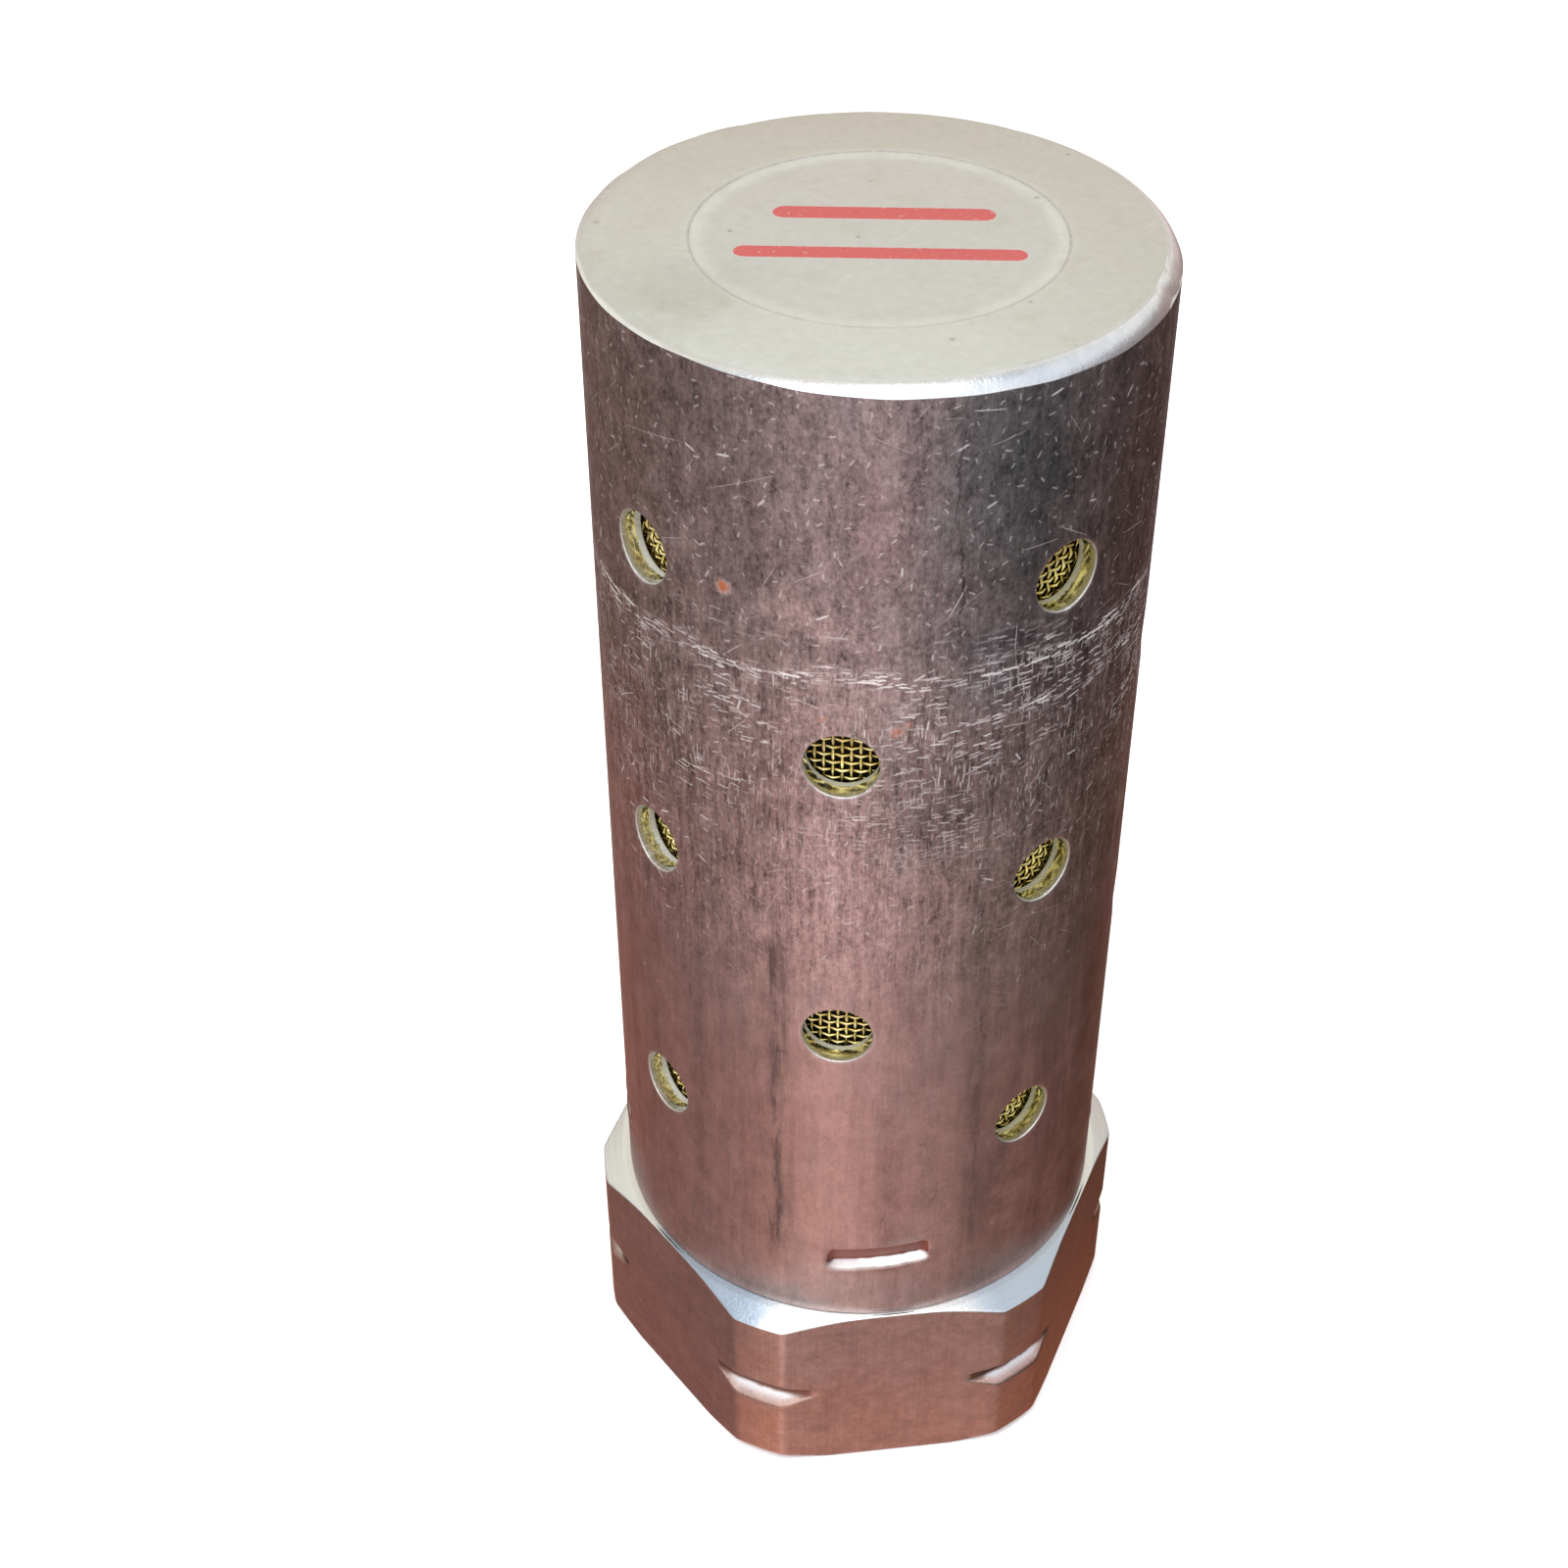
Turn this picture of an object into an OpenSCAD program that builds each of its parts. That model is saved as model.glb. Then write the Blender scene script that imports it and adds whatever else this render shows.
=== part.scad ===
// Pneumatic exhaust muffler: a staked aluminium can on a hexagon adapter, with
// brass wire cloth behind the exhaust holes and a perforated diffuser core.
// Millimetres. +Z runs from the port to the closed end. The origin is the centre
// of the hexagon's bottom face, and one flat of the hexagon faces -Y.

/* [Hexagon adapter] */
// Width across the flats of the hexagon (1-1/2 in bar)
hex_af = 38.1; // [37.7:0.1:39.5]
// Height of the hexagon
hex_h = 16.9; // [15.5:0.1:19]
// Diameter the six corners are turned down to
corner_d = 41.8; // [40.8:0.1:43]
// Drop of the 30 degree top chamfer at the corners
corner_drop = 0.95; // [0.5:0.05:1.3]
// Drop of the 30 degree bottom chamfer at the corners
foot_drop = 0.7; // [0.2:0.05:0.9]
// Height of the turned groove that crosses the corners
groove_z = 8.2; // [6:0.1:10]
// Height of the groove's upper flank above that
groove_up = 1.15; // [0.6:0.05:1.4]
// Height of its gentler lower flank
groove_down = 1.25; // [0.8:0.05:1.5]
// Depth of that groove below the turned corners
groove_deep = 0.93; // [0.5:0.01:1]
// Height of the spigot that the can is pushed over
spigot_h = 10.5; // [9.5:0.1:11]

/* [Port] */
// Port bore, at the pitch diameter of a 3/4-14 pipe thread
port_d = 25.12; // [24:0.01:26]
// Depth of the port bore
port_deep = 16; // [14:0.1:16.5]
// Leg of the 45 degree chamfer at the port's mouth
port_chamfer = 1.3; // [0.5:0.1:1.6]
// Bore that carries the air on from the port
flow_d = 20.6; // [18:0.1:21]

/* [Can] */
// Outside diameter of the can
can_od = 37.4; // [37:0.1:37.6]
// Wall of the can
can_wall = 1.6; // [1.4:0.05:1.7]
// Thickness of the closed end
end_thick = 2.2; // [1.8:0.1:2.4]
// Height from the hexagon's bottom face to the closed end
total_h = 97.8; // [95:0.1:106]
// Edge radius around the closed end
rim_r = 1.6; // [0.5:0.05:2.2]
// Diameter of the die mark on the closed end
mark_d = 23.4; // [18:0.1:28]
// Depth of that die mark
mark_deep = 0.12; // [0.05:0.01:0.3]

/* [Exhaust holes] */
// Diameter of each exhaust hole
hole_d = 4.9; // [3:0.1:6]
// Height of the lowest row of holes
first_row_z = 34.8; // [34:0.1:37]
// Distance between rows
row_pitch = 11.9; // [10:0.1:12.2]
// Angle of the first two-hole column from the -Y flat
column_turn = -14.3; // [-22:0.1:22]

/* [Stakes] */
// Number of chisel stakes around the skirt
stakes = 4; // [3:1:6]
// Height of the stakes' roots
stake_z = 22.9; // [22.4:0.1:23.6]
// Width of one stake around the can
stake_w = 7.6; // [5:0.1:9]
// Depth of one stake
stake_deep = 0.55; // [0.4:0.05:0.9]
// Angle of the first stake from the -Y flat
stake_turn = -4.2; // [-45:0.1:45]

/* [Core] */
// Outside diameter of the diffuser tube
tube_od = 22; // [20.8:0.1:22.2]
// Wall of the diffuser tube
tube_wall = 0.8; // [0.5:0.05:1]
// Diameter of the diffuser's holes
jet_d = 4; // [2:0.1:4.5]
// Rows of diffuser holes
jet_rows = 7; // [4:1:7]
// Holes in each diffuser row
jet_cols = 6; // [4:1:8]
// Thickness of the wire cloth (two wires deep)
cloth = 0.5; // [0.4:0.05:0.6]
// Wall of the felt packing
felt_wall = 2.9; // [2:0.1:3]

/* [Hidden] */
$fn = 96;

past = 1;                               // how far a cutter runs past a face
touch = 0.02;                           // hairline gap between stacked faces

// Can and spigot
can_r = can_od / 2;
can_in = can_r - can_wall;
end_in_z = total_h - end_thick;         // inside face of the closed end
spigot_r = can_in - 0.05;               // light push fit
spigot_top = hex_h + spigot_h;

// Diffuser's foot, in the counterbore at the top of the spigot
well_deep = 5;
well_z = spigot_top - well_deep;
well_r = 12.3;
gasket_t = 0.8;
collar_r = 12.15;
collar_h = well_deep - gasket_t - 0.1;
foot_z = well_z + gasket_t + touch;     // where the diffuser tube stands

// Screen rings: a flat plate, and a lip inside the cloth
ring_t = 0.8;
ring_r = can_in - 0.1;
lip_in = 15.45;
lip_out = 16.15;
lip_h = 2.8;
washer_space = 2.05;                    // between the upper ring and the closed end
up_plate_z = end_in_z - washer_space - ring_t;  // underside of the upper ring's plate

// Diffuser's top
cap_t = 1.1;
cap_skirt = 4;
tube_r = tube_od / 2;
tube_top = up_plate_z - 0.04 - cap_t;

// Wire cloth
cloth_out = can_in - 0.12;              // the cloth stands just inside the can
thin_cloth = cloth - 0.1;               // thickness of the lap seam and the inner wrap
screen_z0 = spigot_top + ring_t + 0.06;
screen_z1 = up_plate_z - 0.05;
wrap_z1 = tube_top - cap_skirt - 0.3;   // top of the inner screen, under the cap's skirt

// Plain tube about Z
module sleeve(outer_r, inner_r, z0, z1) {
  difference() {
    translate([0, 0, z0]) cylinder(r = outer_r, h = z1 - z0);
    translate([0, 0, z0 - past]) cylinder(r = inner_r, h = z1 - z0 + 2 * past);
  }
}

// ---- hexagon adapter ------------------------------------------------------
chamfer_angle = 30;
spigot_edge = 0.5;                      // chamfer around the spigot's top
lock_deep = 0.7;                        // spigot groove that the stakes lock into
lock_mouth = 1.9;                       // half its height at the surface
lock_floor = 1.2;                       // half its height at the bottom
groove_floor_up = 0.3;                  // floor of the hexagon's groove, above groove_z
groove_floor_down = 0.35;               // and below it
groove_reach = 2;                       // how far the groove's cutter stands outside

// Everything turned on the lathe, as one radius and height profile about Z
module turned_body() {
  corner_r = corner_d / 2;
  rotate_extrude()
    polygon([
      [0, 0],
      [corner_r - foot_drop / tan(chamfer_angle), 0],
      [corner_r, foot_drop],
      [corner_r, hex_h - corner_drop],
      [corner_r - corner_drop / tan(chamfer_angle), hex_h],
      [spigot_r, hex_h],
      [spigot_r, stake_z - lock_mouth],
      [spigot_r - lock_deep, stake_z - lock_floor],
      [spigot_r - lock_deep, stake_z + lock_floor],
      [spigot_r, stake_z + lock_mouth],
      [spigot_r, spigot_top - spigot_edge],
      [spigot_r - spigot_edge, spigot_top],
      [0, spigot_top]
    ]);
}

// The bar's flats, up to the hexagon's top face, and room for the spigot
module bar_stock() {
  union() {
    translate([0, 0, -past])
      cylinder(d = hex_af / cos(30), h = hex_h + past, $fn = 6);
    cylinder(r = spigot_r + 0.02, h = spigot_top + past);
  }
}

// Groove across the corners, with a steep upper flank and a gentle lower one
module corner_groove() {
  rotate_extrude()
    translate([corner_d / 2, groove_z])
      polygon([
        [0, groove_up],
        [-groove_deep, groove_floor_up],
        [-groove_deep, -groove_floor_down],
        [0, -groove_down],
        [groove_reach, -groove_down],
        [groove_reach, groove_up]
      ]);
}

module hex_base() {
  color([0.80, 0.66, 0.60])
    difference() {
      intersection() {
        turned_body();
        bar_stock();
      }
      corner_groove();
      // port, with its mouth chamfer
      translate([0, 0, -past]) cylinder(d = port_d, h = port_deep + past);
      translate([0, 0, -past])
        cylinder(r1 = port_d / 2 + port_chamfer + past, r2 = port_d / 2,
                 h = port_chamfer + past);
      // flow bore and the diffuser's counterbore
      cylinder(d = flow_d, h = spigot_top + past);
      translate([0, 0, well_z]) cylinder(r = well_r, h = spigot_h);
    }
}

// ---- can ------------------------------------------------------------------
skirt_z = hex_h + touch;                // open edge of the can
skirt_edge = 0.12;                      // chamfer around the open edge
inner_edge = 0.8;                       // chamfer inside the closed end
rim_start = 35;                         // angle at which the rim's arc leaves the wall
rim_step = 11;
stake_rise = 3.35;                      // height of a stake's upper flank per mm of depth
stake_fall = 1.1;                       // and of its lower flank
stake_reach = 2;                        // radial depth of the stake's cutter
bulge_half_h = 0.9;
bulge_in = 0.45;                        // how far a bulge stands in from the can's bore
bulge_root = 0.3;                       // how far it runs back into the wall
bulge_side = 0.6;                       // how much shorter it is at each side of the stake

// Drawn can with a trimmed open edge, a rounded rim and the die mark on its closed end
module can_blank() {
  mark_r = mark_d / 2;
  rotate_extrude()
    polygon(concat(
      [[can_in, skirt_z], [can_r - skirt_edge, skirt_z], [can_r, skirt_z + skirt_edge]],
      [for (a = [rim_start:rim_step:90])
        [can_r - rim_r * (cos(rim_start) - cos(a)), total_h - rim_r + rim_r * sin(a)]],
      [[mark_r + mark_deep * 2, total_h], [mark_r, total_h - mark_deep],
       [0, total_h - mark_deep], [0, end_in_z],
       [can_in - inner_edge, end_in_z], [can_in, end_in_z - inner_edge]]
    ));
}

// Eight columns over five rows: two holes (rows 1 and 3) and three holes
// (rows 0, 2 and 4) by turns
module exhaust_holes() {
  for (column = [0:7])
    for (row = [(column + 1) % 2:2:4])
      rotate([0, 0, column_turn + column * 45])
        translate([0, 0, first_row_z + row_pitch * row])
          rotate([90, 0, 0]) cylinder(d = hole_d, h = can_r + 3);
}

module at_stakes() {
  for (i = [0:stakes - 1])
    rotate([0, 0, stake_turn + i * 360 / stakes])
      translate([0, 0, stake_z]) children();
}

// Chisel mark: a vee of even depth pressed in around the can, with a long upper flank
module stake_cut() {
  half_angle = asin(stake_w / 2 / can_r);
  rotate([0, 0, -90 - half_angle])
    rotate_extrude(angle = 2 * half_angle)
      translate([can_r - stake_deep, 0])
        polygon([[0, 0],
                 [stake_reach, stake_reach * stake_rise],
                 [stake_reach, -stake_reach * stake_fall]]);
}

// Metal the chisel pushes into the spigot's groove, which locks the can on
module stake_bulge() {
  intersection() {
    difference() {
      translate([0, 0, -bulge_half_h])
        cylinder(r = can_in + bulge_root, h = 2 * bulge_half_h);
      translate([0, 0, -1]) cylinder(r = can_in - bulge_in, h = 2);
    }
    translate([-stake_w / 2 + bulge_side, -can_r, -2])
      cube([stake_w - 2 * bulge_side, can_r, 4]);
  }
}

module muffler_shell() {
  color([0.62, 0.50, 0.50])
    difference() {
      union() {
        can_blank();
        at_stakes() stake_bulge();
      }
      exhaust_holes();
      at_stakes() stake_cut();
    }
}

// ---- wire cloth and packing -----------------------------------------------
seam_w = 6.4;
seam_inset = 4.5;                       // keeps the seam clear of both rings' lips
wrap_in = tube_r + 0.05;                // inside radius of the inner screen
tie_r = 0.24;                           // radius of the binding wire
tie_inset = 1.5;                        // from each end of the inner screen
felt_r = 15.1;

// The cloth is a plain sleeve as thick as its weave, with a lap seam at +Y
module outer_screen() {
  seam_r = cloth_out - thin_cloth;
  color([0.80, 0.70, 0.28])
    union() {
      sleeve(cloth_out, cloth_out - cloth, screen_z0, screen_z1);
      // second layer, just inside the first
      intersection() {
        sleeve(seam_r, seam_r - thin_cloth, screen_z0 + seam_inset, screen_z1 - seam_inset);
        translate([-seam_w / 2, 0, 0]) cube([seam_w, can_r, total_h]);
      }
    }
}

module inner_screen() {
  color([0.72, 0.60, 0.25])
    sleeve(wrap_in + thin_cloth, wrap_in, screen_z0, wrap_z1);
}

// Three binding wires that hold the inner cloth on the diffuser
module screen_tie_wires() {
  color([0.75, 0.62, 0.30])
    for (z = [screen_z0 + tie_inset, (screen_z0 + wrap_z1) / 2, wrap_z1 - tie_inset])
      rotate_extrude()
        translate([tube_r + cloth + 0.22, z]) circle(r = tie_r, $fn = 32);
}

module packing_sleeve() {
  color([0.22, 0.19, 0.17])
    sleeve(felt_r, felt_r - felt_wall, screen_z0 + 0.1, screen_z1 - 0.3);
}

// ---- diffuser -------------------------------------------------------------
jet_z0 = screen_z0 + 6;                 // lowest row of holes
jet_z1 = wrap_z1 - 5;                   // highest row
cap_wall_r = tube_r + 0.85;             // outside radius of the cap

// Alternate rows of holes are turned by half a pitch
module diffuser_tube() {
  jet_pitch = (jet_z1 - jet_z0) / (jet_rows - 1);
  tube_h = tube_top - foot_z;
  color([0.70, 0.70, 0.72])
    difference() {
      translate([0, 0, foot_z]) cylinder(r = tube_r, h = tube_h);
      translate([0, 0, foot_z - past]) cylinder(r = tube_r - tube_wall, h = tube_h + 2 * past);
      for (row = [0:jet_rows - 1])
        for (column = [0:jet_cols - 1])
          rotate([0, 0, (column + (row % 2) / 2) * 360 / jet_cols])
            translate([0, 0, jet_z0 + row * jet_pitch])
              rotate([90, 0, 0]) cylinder(d = jet_d, h = tube_r + 2);
    }
}

// Ferrule around the tube's foot, clamped under the lower screen ring
module diffuser_collar() {
  color([0.72, 0.60, 0.25])
    sleeve(collar_r, tube_r + 0.03, foot_z, foot_z + collar_h);
}

// Pressed cup that closes the tube, so the air has to leave sideways
module diffuser_cap() {
  color([0.70, 0.70, 0.72])
    difference() {
      translate([0, 0, tube_top - cap_skirt]) cylinder(r = cap_wall_r, h = cap_skirt + cap_t);
      translate([0, 0, tube_top - cap_skirt - past])
        cylinder(r = tube_r + 0.04, h = cap_skirt + past + touch);
    }
}

module foot_gasket() {
  color([0.30, 0.24, 0.20])
    sleeve(collar_r, flow_d / 2 + 0.1, well_z, well_z + gasket_t);
}

// ---- screen rings ---------------------------------------------------------
lower_bore_r = tube_r + 0.1;
upper_bore_r = 7;

// Plate on the spigot, with a lip standing up inside the cloth
module lower_screen_ring() {
  bottom = spigot_top + touch;
  top = spigot_top + ring_t;
  color([0.72, 0.72, 0.74])
    rotate_extrude()
      polygon([
        [lower_bore_r, bottom], [ring_r, bottom],
        [ring_r, top], [lip_out, top],
        [lip_out, top + lip_h], [lip_in, top + lip_h],
        [lip_in, top], [lower_bore_r, top]
      ]);
}

// Plate over the diffuser's cap, with a lip hanging down inside the cloth
module upper_screen_ring() {
  bottom = up_plate_z;
  top = up_plate_z + ring_t;
  color([0.72, 0.72, 0.74])
    rotate_extrude()
      polygon([
        [upper_bore_r, bottom], [lip_in, bottom],
        [lip_in, bottom - lip_h], [lip_out, bottom - lip_h],
        [lip_out, bottom], [ring_r, bottom],
        [ring_r, top], [upper_bore_r, top]
      ]);
}

// ---- wave washer ----------------------------------------------------------
washer_in = 9.5;
washer_out = 13.5;
washer_t = 0.5;
washer_waves = 3;
washer_steps = 72;

// Spring washer that keeps the stack tight under the closed end
module wave_washer() {
  middle_z = end_in_z - washer_space / 2;
  wave_h = (washer_space - washer_t) / 2 - 0.03;
  half_t = washer_t / 2;
  // corners of the section, as radius and height
  section = [[washer_in, -half_t], [washer_out, -half_t],
             [washer_out, half_t], [washer_in, half_t]];
  points = [for (i = [0:washer_steps - 1])
              let (a = 360 * i / washer_steps, z = middle_z + wave_h * cos(washer_waves * a))
              for (corner = section)
                [corner[0] * cos(a), corner[0] * sin(a), z + corner[1]]];
  // two triangles for each side of the section at each step
  faces = [for (i = [0:washer_steps - 1])
             for (j = [0:3])
               let (here = 4 * i, ahead = 4 * ((i + 1) % washer_steps), k = (j + 1) % 4)
               for (triangle = [[here + j, ahead + k, ahead + j],
                                [here + j, here + k, ahead + k]])
                 triangle];
  color([0.60, 0.60, 0.62])
    polyhedron(points = points, faces = faces);
}

hex_base();
muffler_shell();
outer_screen();
packing_sleeve();
inner_screen();
screen_tie_wires();
diffuser_tube();
diffuser_collar();
diffuser_cap();
foot_gasket();
lower_screen_ring();
upper_screen_ring();
wave_washer();
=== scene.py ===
"""A staked pneumatic muffler: satin aluminium can on a turned hexagon, with brass wire cloth,
felt packing and plated inner parts.

It stands upright on z = 0 with its axis on Z: the hexagon with the port at the foot, the closed
end of the can on top. The camera is on the -Y side. Azimuths run from -Y towards +X. Meshes are
worked out in millimetres and stored in metres; shaders work in millimetres too.
"""

import math
from types import SimpleNamespace

import bpy
import bmesh
import numpy as np
from mathutils import Matrix, Vector, noise


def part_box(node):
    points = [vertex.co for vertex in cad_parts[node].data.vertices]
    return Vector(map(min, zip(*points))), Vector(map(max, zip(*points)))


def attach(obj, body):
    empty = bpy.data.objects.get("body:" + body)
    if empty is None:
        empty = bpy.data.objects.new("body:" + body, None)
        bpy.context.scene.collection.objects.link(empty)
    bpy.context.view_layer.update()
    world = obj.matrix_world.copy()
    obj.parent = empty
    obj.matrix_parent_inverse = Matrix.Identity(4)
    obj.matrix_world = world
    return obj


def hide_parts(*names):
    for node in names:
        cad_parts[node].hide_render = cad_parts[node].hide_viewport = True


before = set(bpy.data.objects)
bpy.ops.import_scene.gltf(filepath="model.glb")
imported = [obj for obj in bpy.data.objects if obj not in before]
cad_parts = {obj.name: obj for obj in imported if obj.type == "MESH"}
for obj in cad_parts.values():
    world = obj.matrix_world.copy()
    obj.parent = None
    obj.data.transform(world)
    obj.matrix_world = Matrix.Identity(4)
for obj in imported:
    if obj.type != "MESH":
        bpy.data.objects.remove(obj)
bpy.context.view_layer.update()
scene = bpy.context.scene
DEG = math.pi / 180.0
PER_RADIAN = 57.29578           # degrees in a radian, for the shaders
UP = np.array([0.0, 0.0, 1.0])


def node_box(name):
    low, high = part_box(name)
    return np.array(low) * 1000.0, np.array(high) * 1000.0


# ---------------------------------------------------------------- sizes, mm and degrees
_, HEX_HI = node_box("hex_base")
CAN_LO, CAN_HI = node_box("muffler_shell")
NET_LO, NET_HI = node_box("outer_screen")
FELT_LO, FELT_HI = node_box("packing_sleeve")

CAN_R = round(CAN_HI[0], 3)
CAN_R_IN = CAN_R - 1.6
CAN_FOOT = CAN_LO[2]            # open end
CAN_TOP = CAN_HI[2]             # closed end
CAN_TOP_IN = CAN_TOP - 2.2
RIM_R, RIM_START = 1.58, 35.0   # rim radius, and the angle at which its arc leaves the wall
VIEW_TURN = -9.44               # azimuth that the rim's lean and the top's tones follow

HOLE_R = 2.45
COLUMNS, COLUMN_STEP = 8, 45
FIRST_COLUMN = -14.3
ROWS, FIRST_ROW, ROW_PITCH = 5, 34.8, 11.9
PATCH = 8.0                     # side of the square of wall kept for each hole
PATCH_STEPS, COLUMN_GAP_STEPS, ROW_GAP_STEPS = 12, 10, 6

STAKE_Z, STAKE_WIDTH, STAKE_DEPTH, FIRST_STAKE = 22.9, 7.6, 0.55, -4.2
STAKE_TILTS = (5.0, -1.2, 0.8, 2.1)
STAKE_UPPER_RUN, STAKE_LOWER_RUN = 3.35, 1.1    # height of each slope per mm of depth

HALF_FLATS = round(HEX_HI[1], 3)
CORNER_R = 20.9                 # turned corners of the hexagon
HEX_TOP = CAN_FOOT - 0.02
TOP_DROP, FOOT_DROP = 0.95, 0.7     # chamfers on the corners
SPIGOT_R = CAN_R_IN - 0.05
SPIGOT_TOP = HEX_HI[2]
GROOVE_Z, GROOVE_DEPTH, GROOVE_ABOVE, GROOVE_BELOW = 8.2, 0.93, 1.15, 1.25
PORT_R, THREAD_DEPTH, THREAD_PITCH = 12.56, 0.66, 25.4 / 14


# ---------------------------------------------------------------- mesh building
def polar(radius, azimuth, z):
    """Points at a radius, azimuth (radians) and height."""
    radius, azimuth, z = np.broadcast_arrays(radius, azimuth, z)
    return np.stack([radius * np.sin(azimuth), -radius * np.cos(azimuth), z], -1)


def axes_at(azimuth):
    """Outward and sideways unit vectors at an azimuth in radians."""
    sine, cosine = math.sin(azimuth), math.cos(azimuth)
    return np.array([sine, -cosine, 0.0]), np.array([cosine, sine, 0.0])


class Net:
    """Collects points, their wear and faces, then makes one mesh. A ring is an index array."""

    def __init__(self):
        self.points, self.wear, self.faces, self.count = [], [], [], 0

    def add(self, points, wear=0.0):
        points = np.asarray(points, float).reshape(-1, 3)
        self.points.append(points)
        self.wear.append(np.broadcast_to(wear, (len(points),)))
        indices = np.arange(self.count, self.count + len(points))
        self.count += len(points)
        return indices

    def join(self, *corners):
        """One face for each entry of the corner arrays."""
        self.faces.extend(np.stack(corners, -1).reshape(-1, len(corners)).tolist())

    def loft(self, ring, other):
        """Band between two closed rings of the same length."""
        self.join(ring, np.roll(ring, -1), np.roll(other, -1), other)

    def extend(self, ring, points, wear=0.0):
        """Adds a ring, lofts it to the last one and returns it."""
        new = self.add(points, wear)
        self.loft(ring, new)
        return new

    def halve(self, fine, coarse):
        """Band from a closed ring of 2n points to one of n points."""
        first, middle, last = fine[0::2], fine[1::2], np.roll(fine, -1)[1::2]
        after = np.roll(coarse, -1)
        self.join(first, middle, coarse)
        self.join(middle, after, coarse)
        self.join(middle, last, after)

    def fan(self, ring, centre):
        tip = self.add([centre])[0]
        self.join(ring, np.roll(ring, -1), np.full(len(ring), tip))

    def make(self, name, sharp=0):
        """sharp: angle in degrees above which edges are sharp, 0 for none."""
        mesh = bpy.data.meshes.new(name)
        mesh.from_pydata((np.concatenate(self.points) * 0.001).tolist(), [], self.faces)
        wear = mesh.attributes.new("wear", "FLOAT", "POINT")
        wear.data.foreach_set("value", np.concatenate(self.wear).astype(np.float32))
        mesh.update()
        bm = bmesh.new()
        bm.from_mesh(mesh)
        bmesh.ops.recalc_face_normals(bm, faces=bm.faces)
        bm.to_mesh(mesh)
        bm.free()
        mesh.polygons.foreach_set("use_smooth", np.ones(len(mesh.polygons), bool))
        if sharp:
            mesh.set_sharp_from_angle(angle=sharp * DEG)
        ob = bpy.data.objects.new(name, mesh)
        scene.collection.objects.link(ob)
        return ob


# ---------------------------------------------------------------- can
HOLE_EDGE = [       # mm beyond the hole's radius, depth, wear
    (0.24, 0, 0.3), (0.13, 0, 1.0), (0.085, 0.012, 1.0), (0.038, 0.038, 1.0),
    (0.01, 0.085, 1.0), (0, 0.14, 0.6)]
RIM_DENTS = [       # azimuth, depth, angular width
    (-47.0, 0.10, 2.2), (21.0, 0.05, 1.6), (63.0, 0.16, 2.6), (70.5, 0.12, 1.5),
    (141.0, 0.07, 2.0), (-128.0, 0.08, 2.4), (-160.0, 0.05, 1.4)]
RIM_ANGLES = (35, 35.8, 38, 42, 47, 53, 60, 67, 74, 82, 90)
END_FACE = [        # radius, height from the top, wear; the step at 12 is the die mark
    (17.2, 0, 0.2), (16.9, 0, 0), (16, 0, 0), (14.5, 0, 0), (13, 0, 0), (12.2, 0, 0),
    (12.0, -0.003, 0), (11.9, -0.018, 0), (11.8, -0.05, 0), (11.7, -0.086, 0),
    (11.6, -0.11, 0), (11.45, -0.12, 0), (10.8, -0.12, 0), (9, -0.12, 0), (7, -0.12, 0),
    (5, -0.12, 0), (3, -0.12, 0), (1.2, -0.12, 0)]
INNER_END = [       # radius, height
    (CAN_R_IN - 0.23, CAN_TOP_IN - 0.23), (CAN_R_IN - 0.8, CAN_TOP_IN), (14.0, CAN_TOP_IN),
    (9.0, CAN_TOP_IN), (3.0, CAN_TOP_IN)]


def from_stake(azimuth, i):
    """Angle from chisel mark i, between -pi and pi."""
    return (azimuth - (FIRST_STAKE + 90.0 * i) * DEG + math.pi) % (2 * math.pi) - math.pi


def stake_depth(azimuth, z):
    """How far the chisel marks push the can's outside in, or out where negative."""
    total = np.zeros(np.broadcast(azimuth, z).shape)
    for i, tilt in enumerate(STAKE_TILTS):
        angle = from_stake(azimuth, i)
        x = CAN_R * np.sin(angle)
        above = z - (STAKE_Z + x * math.tan(tilt * DEG))
        wobble = 0.05 * np.sin(x * 2.1 + 1.7 * i) + 0.03 * np.sin(x * 5.3 + i)
        ends = (STAKE_WIDTH / 2 + 0.12 - np.abs(x)) / np.where(x < 0, 0.75, 0.40)
        ends = np.clip(ends, 0, 1)
        ends = ends * ends * (3 - 2 * ends)
        # the shallower of two slopes, with a rounded valley and a rounded start
        upper = STAKE_DEPTH - above / STAKE_UPPER_RUN
        lower = STAKE_DEPTH + (above + wobble) / STAKE_LOWER_RUN
        cut = 0.5 * (upper + lower - np.sqrt((upper - lower) ** 2 + 0.03 ** 2))
        cut = 0.5 * (cut + np.sqrt(cut * cut + 0.015 ** 2)) * ends
        # metal raised below, above and beside the mark
        span = np.exp(-(np.maximum(np.abs(x) - 3.5, 0) / 0.4) ** 2)
        below = 0.06 * np.exp(-((-above - STAKE_LOWER_RUN * STAKE_DEPTH - 0.22) / 0.20) ** 2)
        over = 0.045 * np.exp(-((above - STAKE_UPPER_RUN * STAKE_DEPTH - 0.12) / 0.14) ** 2)
        lip = below + over * np.clip((x + 2.5) / 4, 0, 1)
        knob = 0.08 * np.exp(-(((x - 4.15) / 0.30) ** 2) - ((above + 0.1) / 0.6) ** 2)
        shift = np.where(cut > 0.012, cut, 0) - lip * span * (cut < 0.05) - knob
        total += np.where(np.abs(angle) < 0.6, shift, 0.0)
    return total


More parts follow.
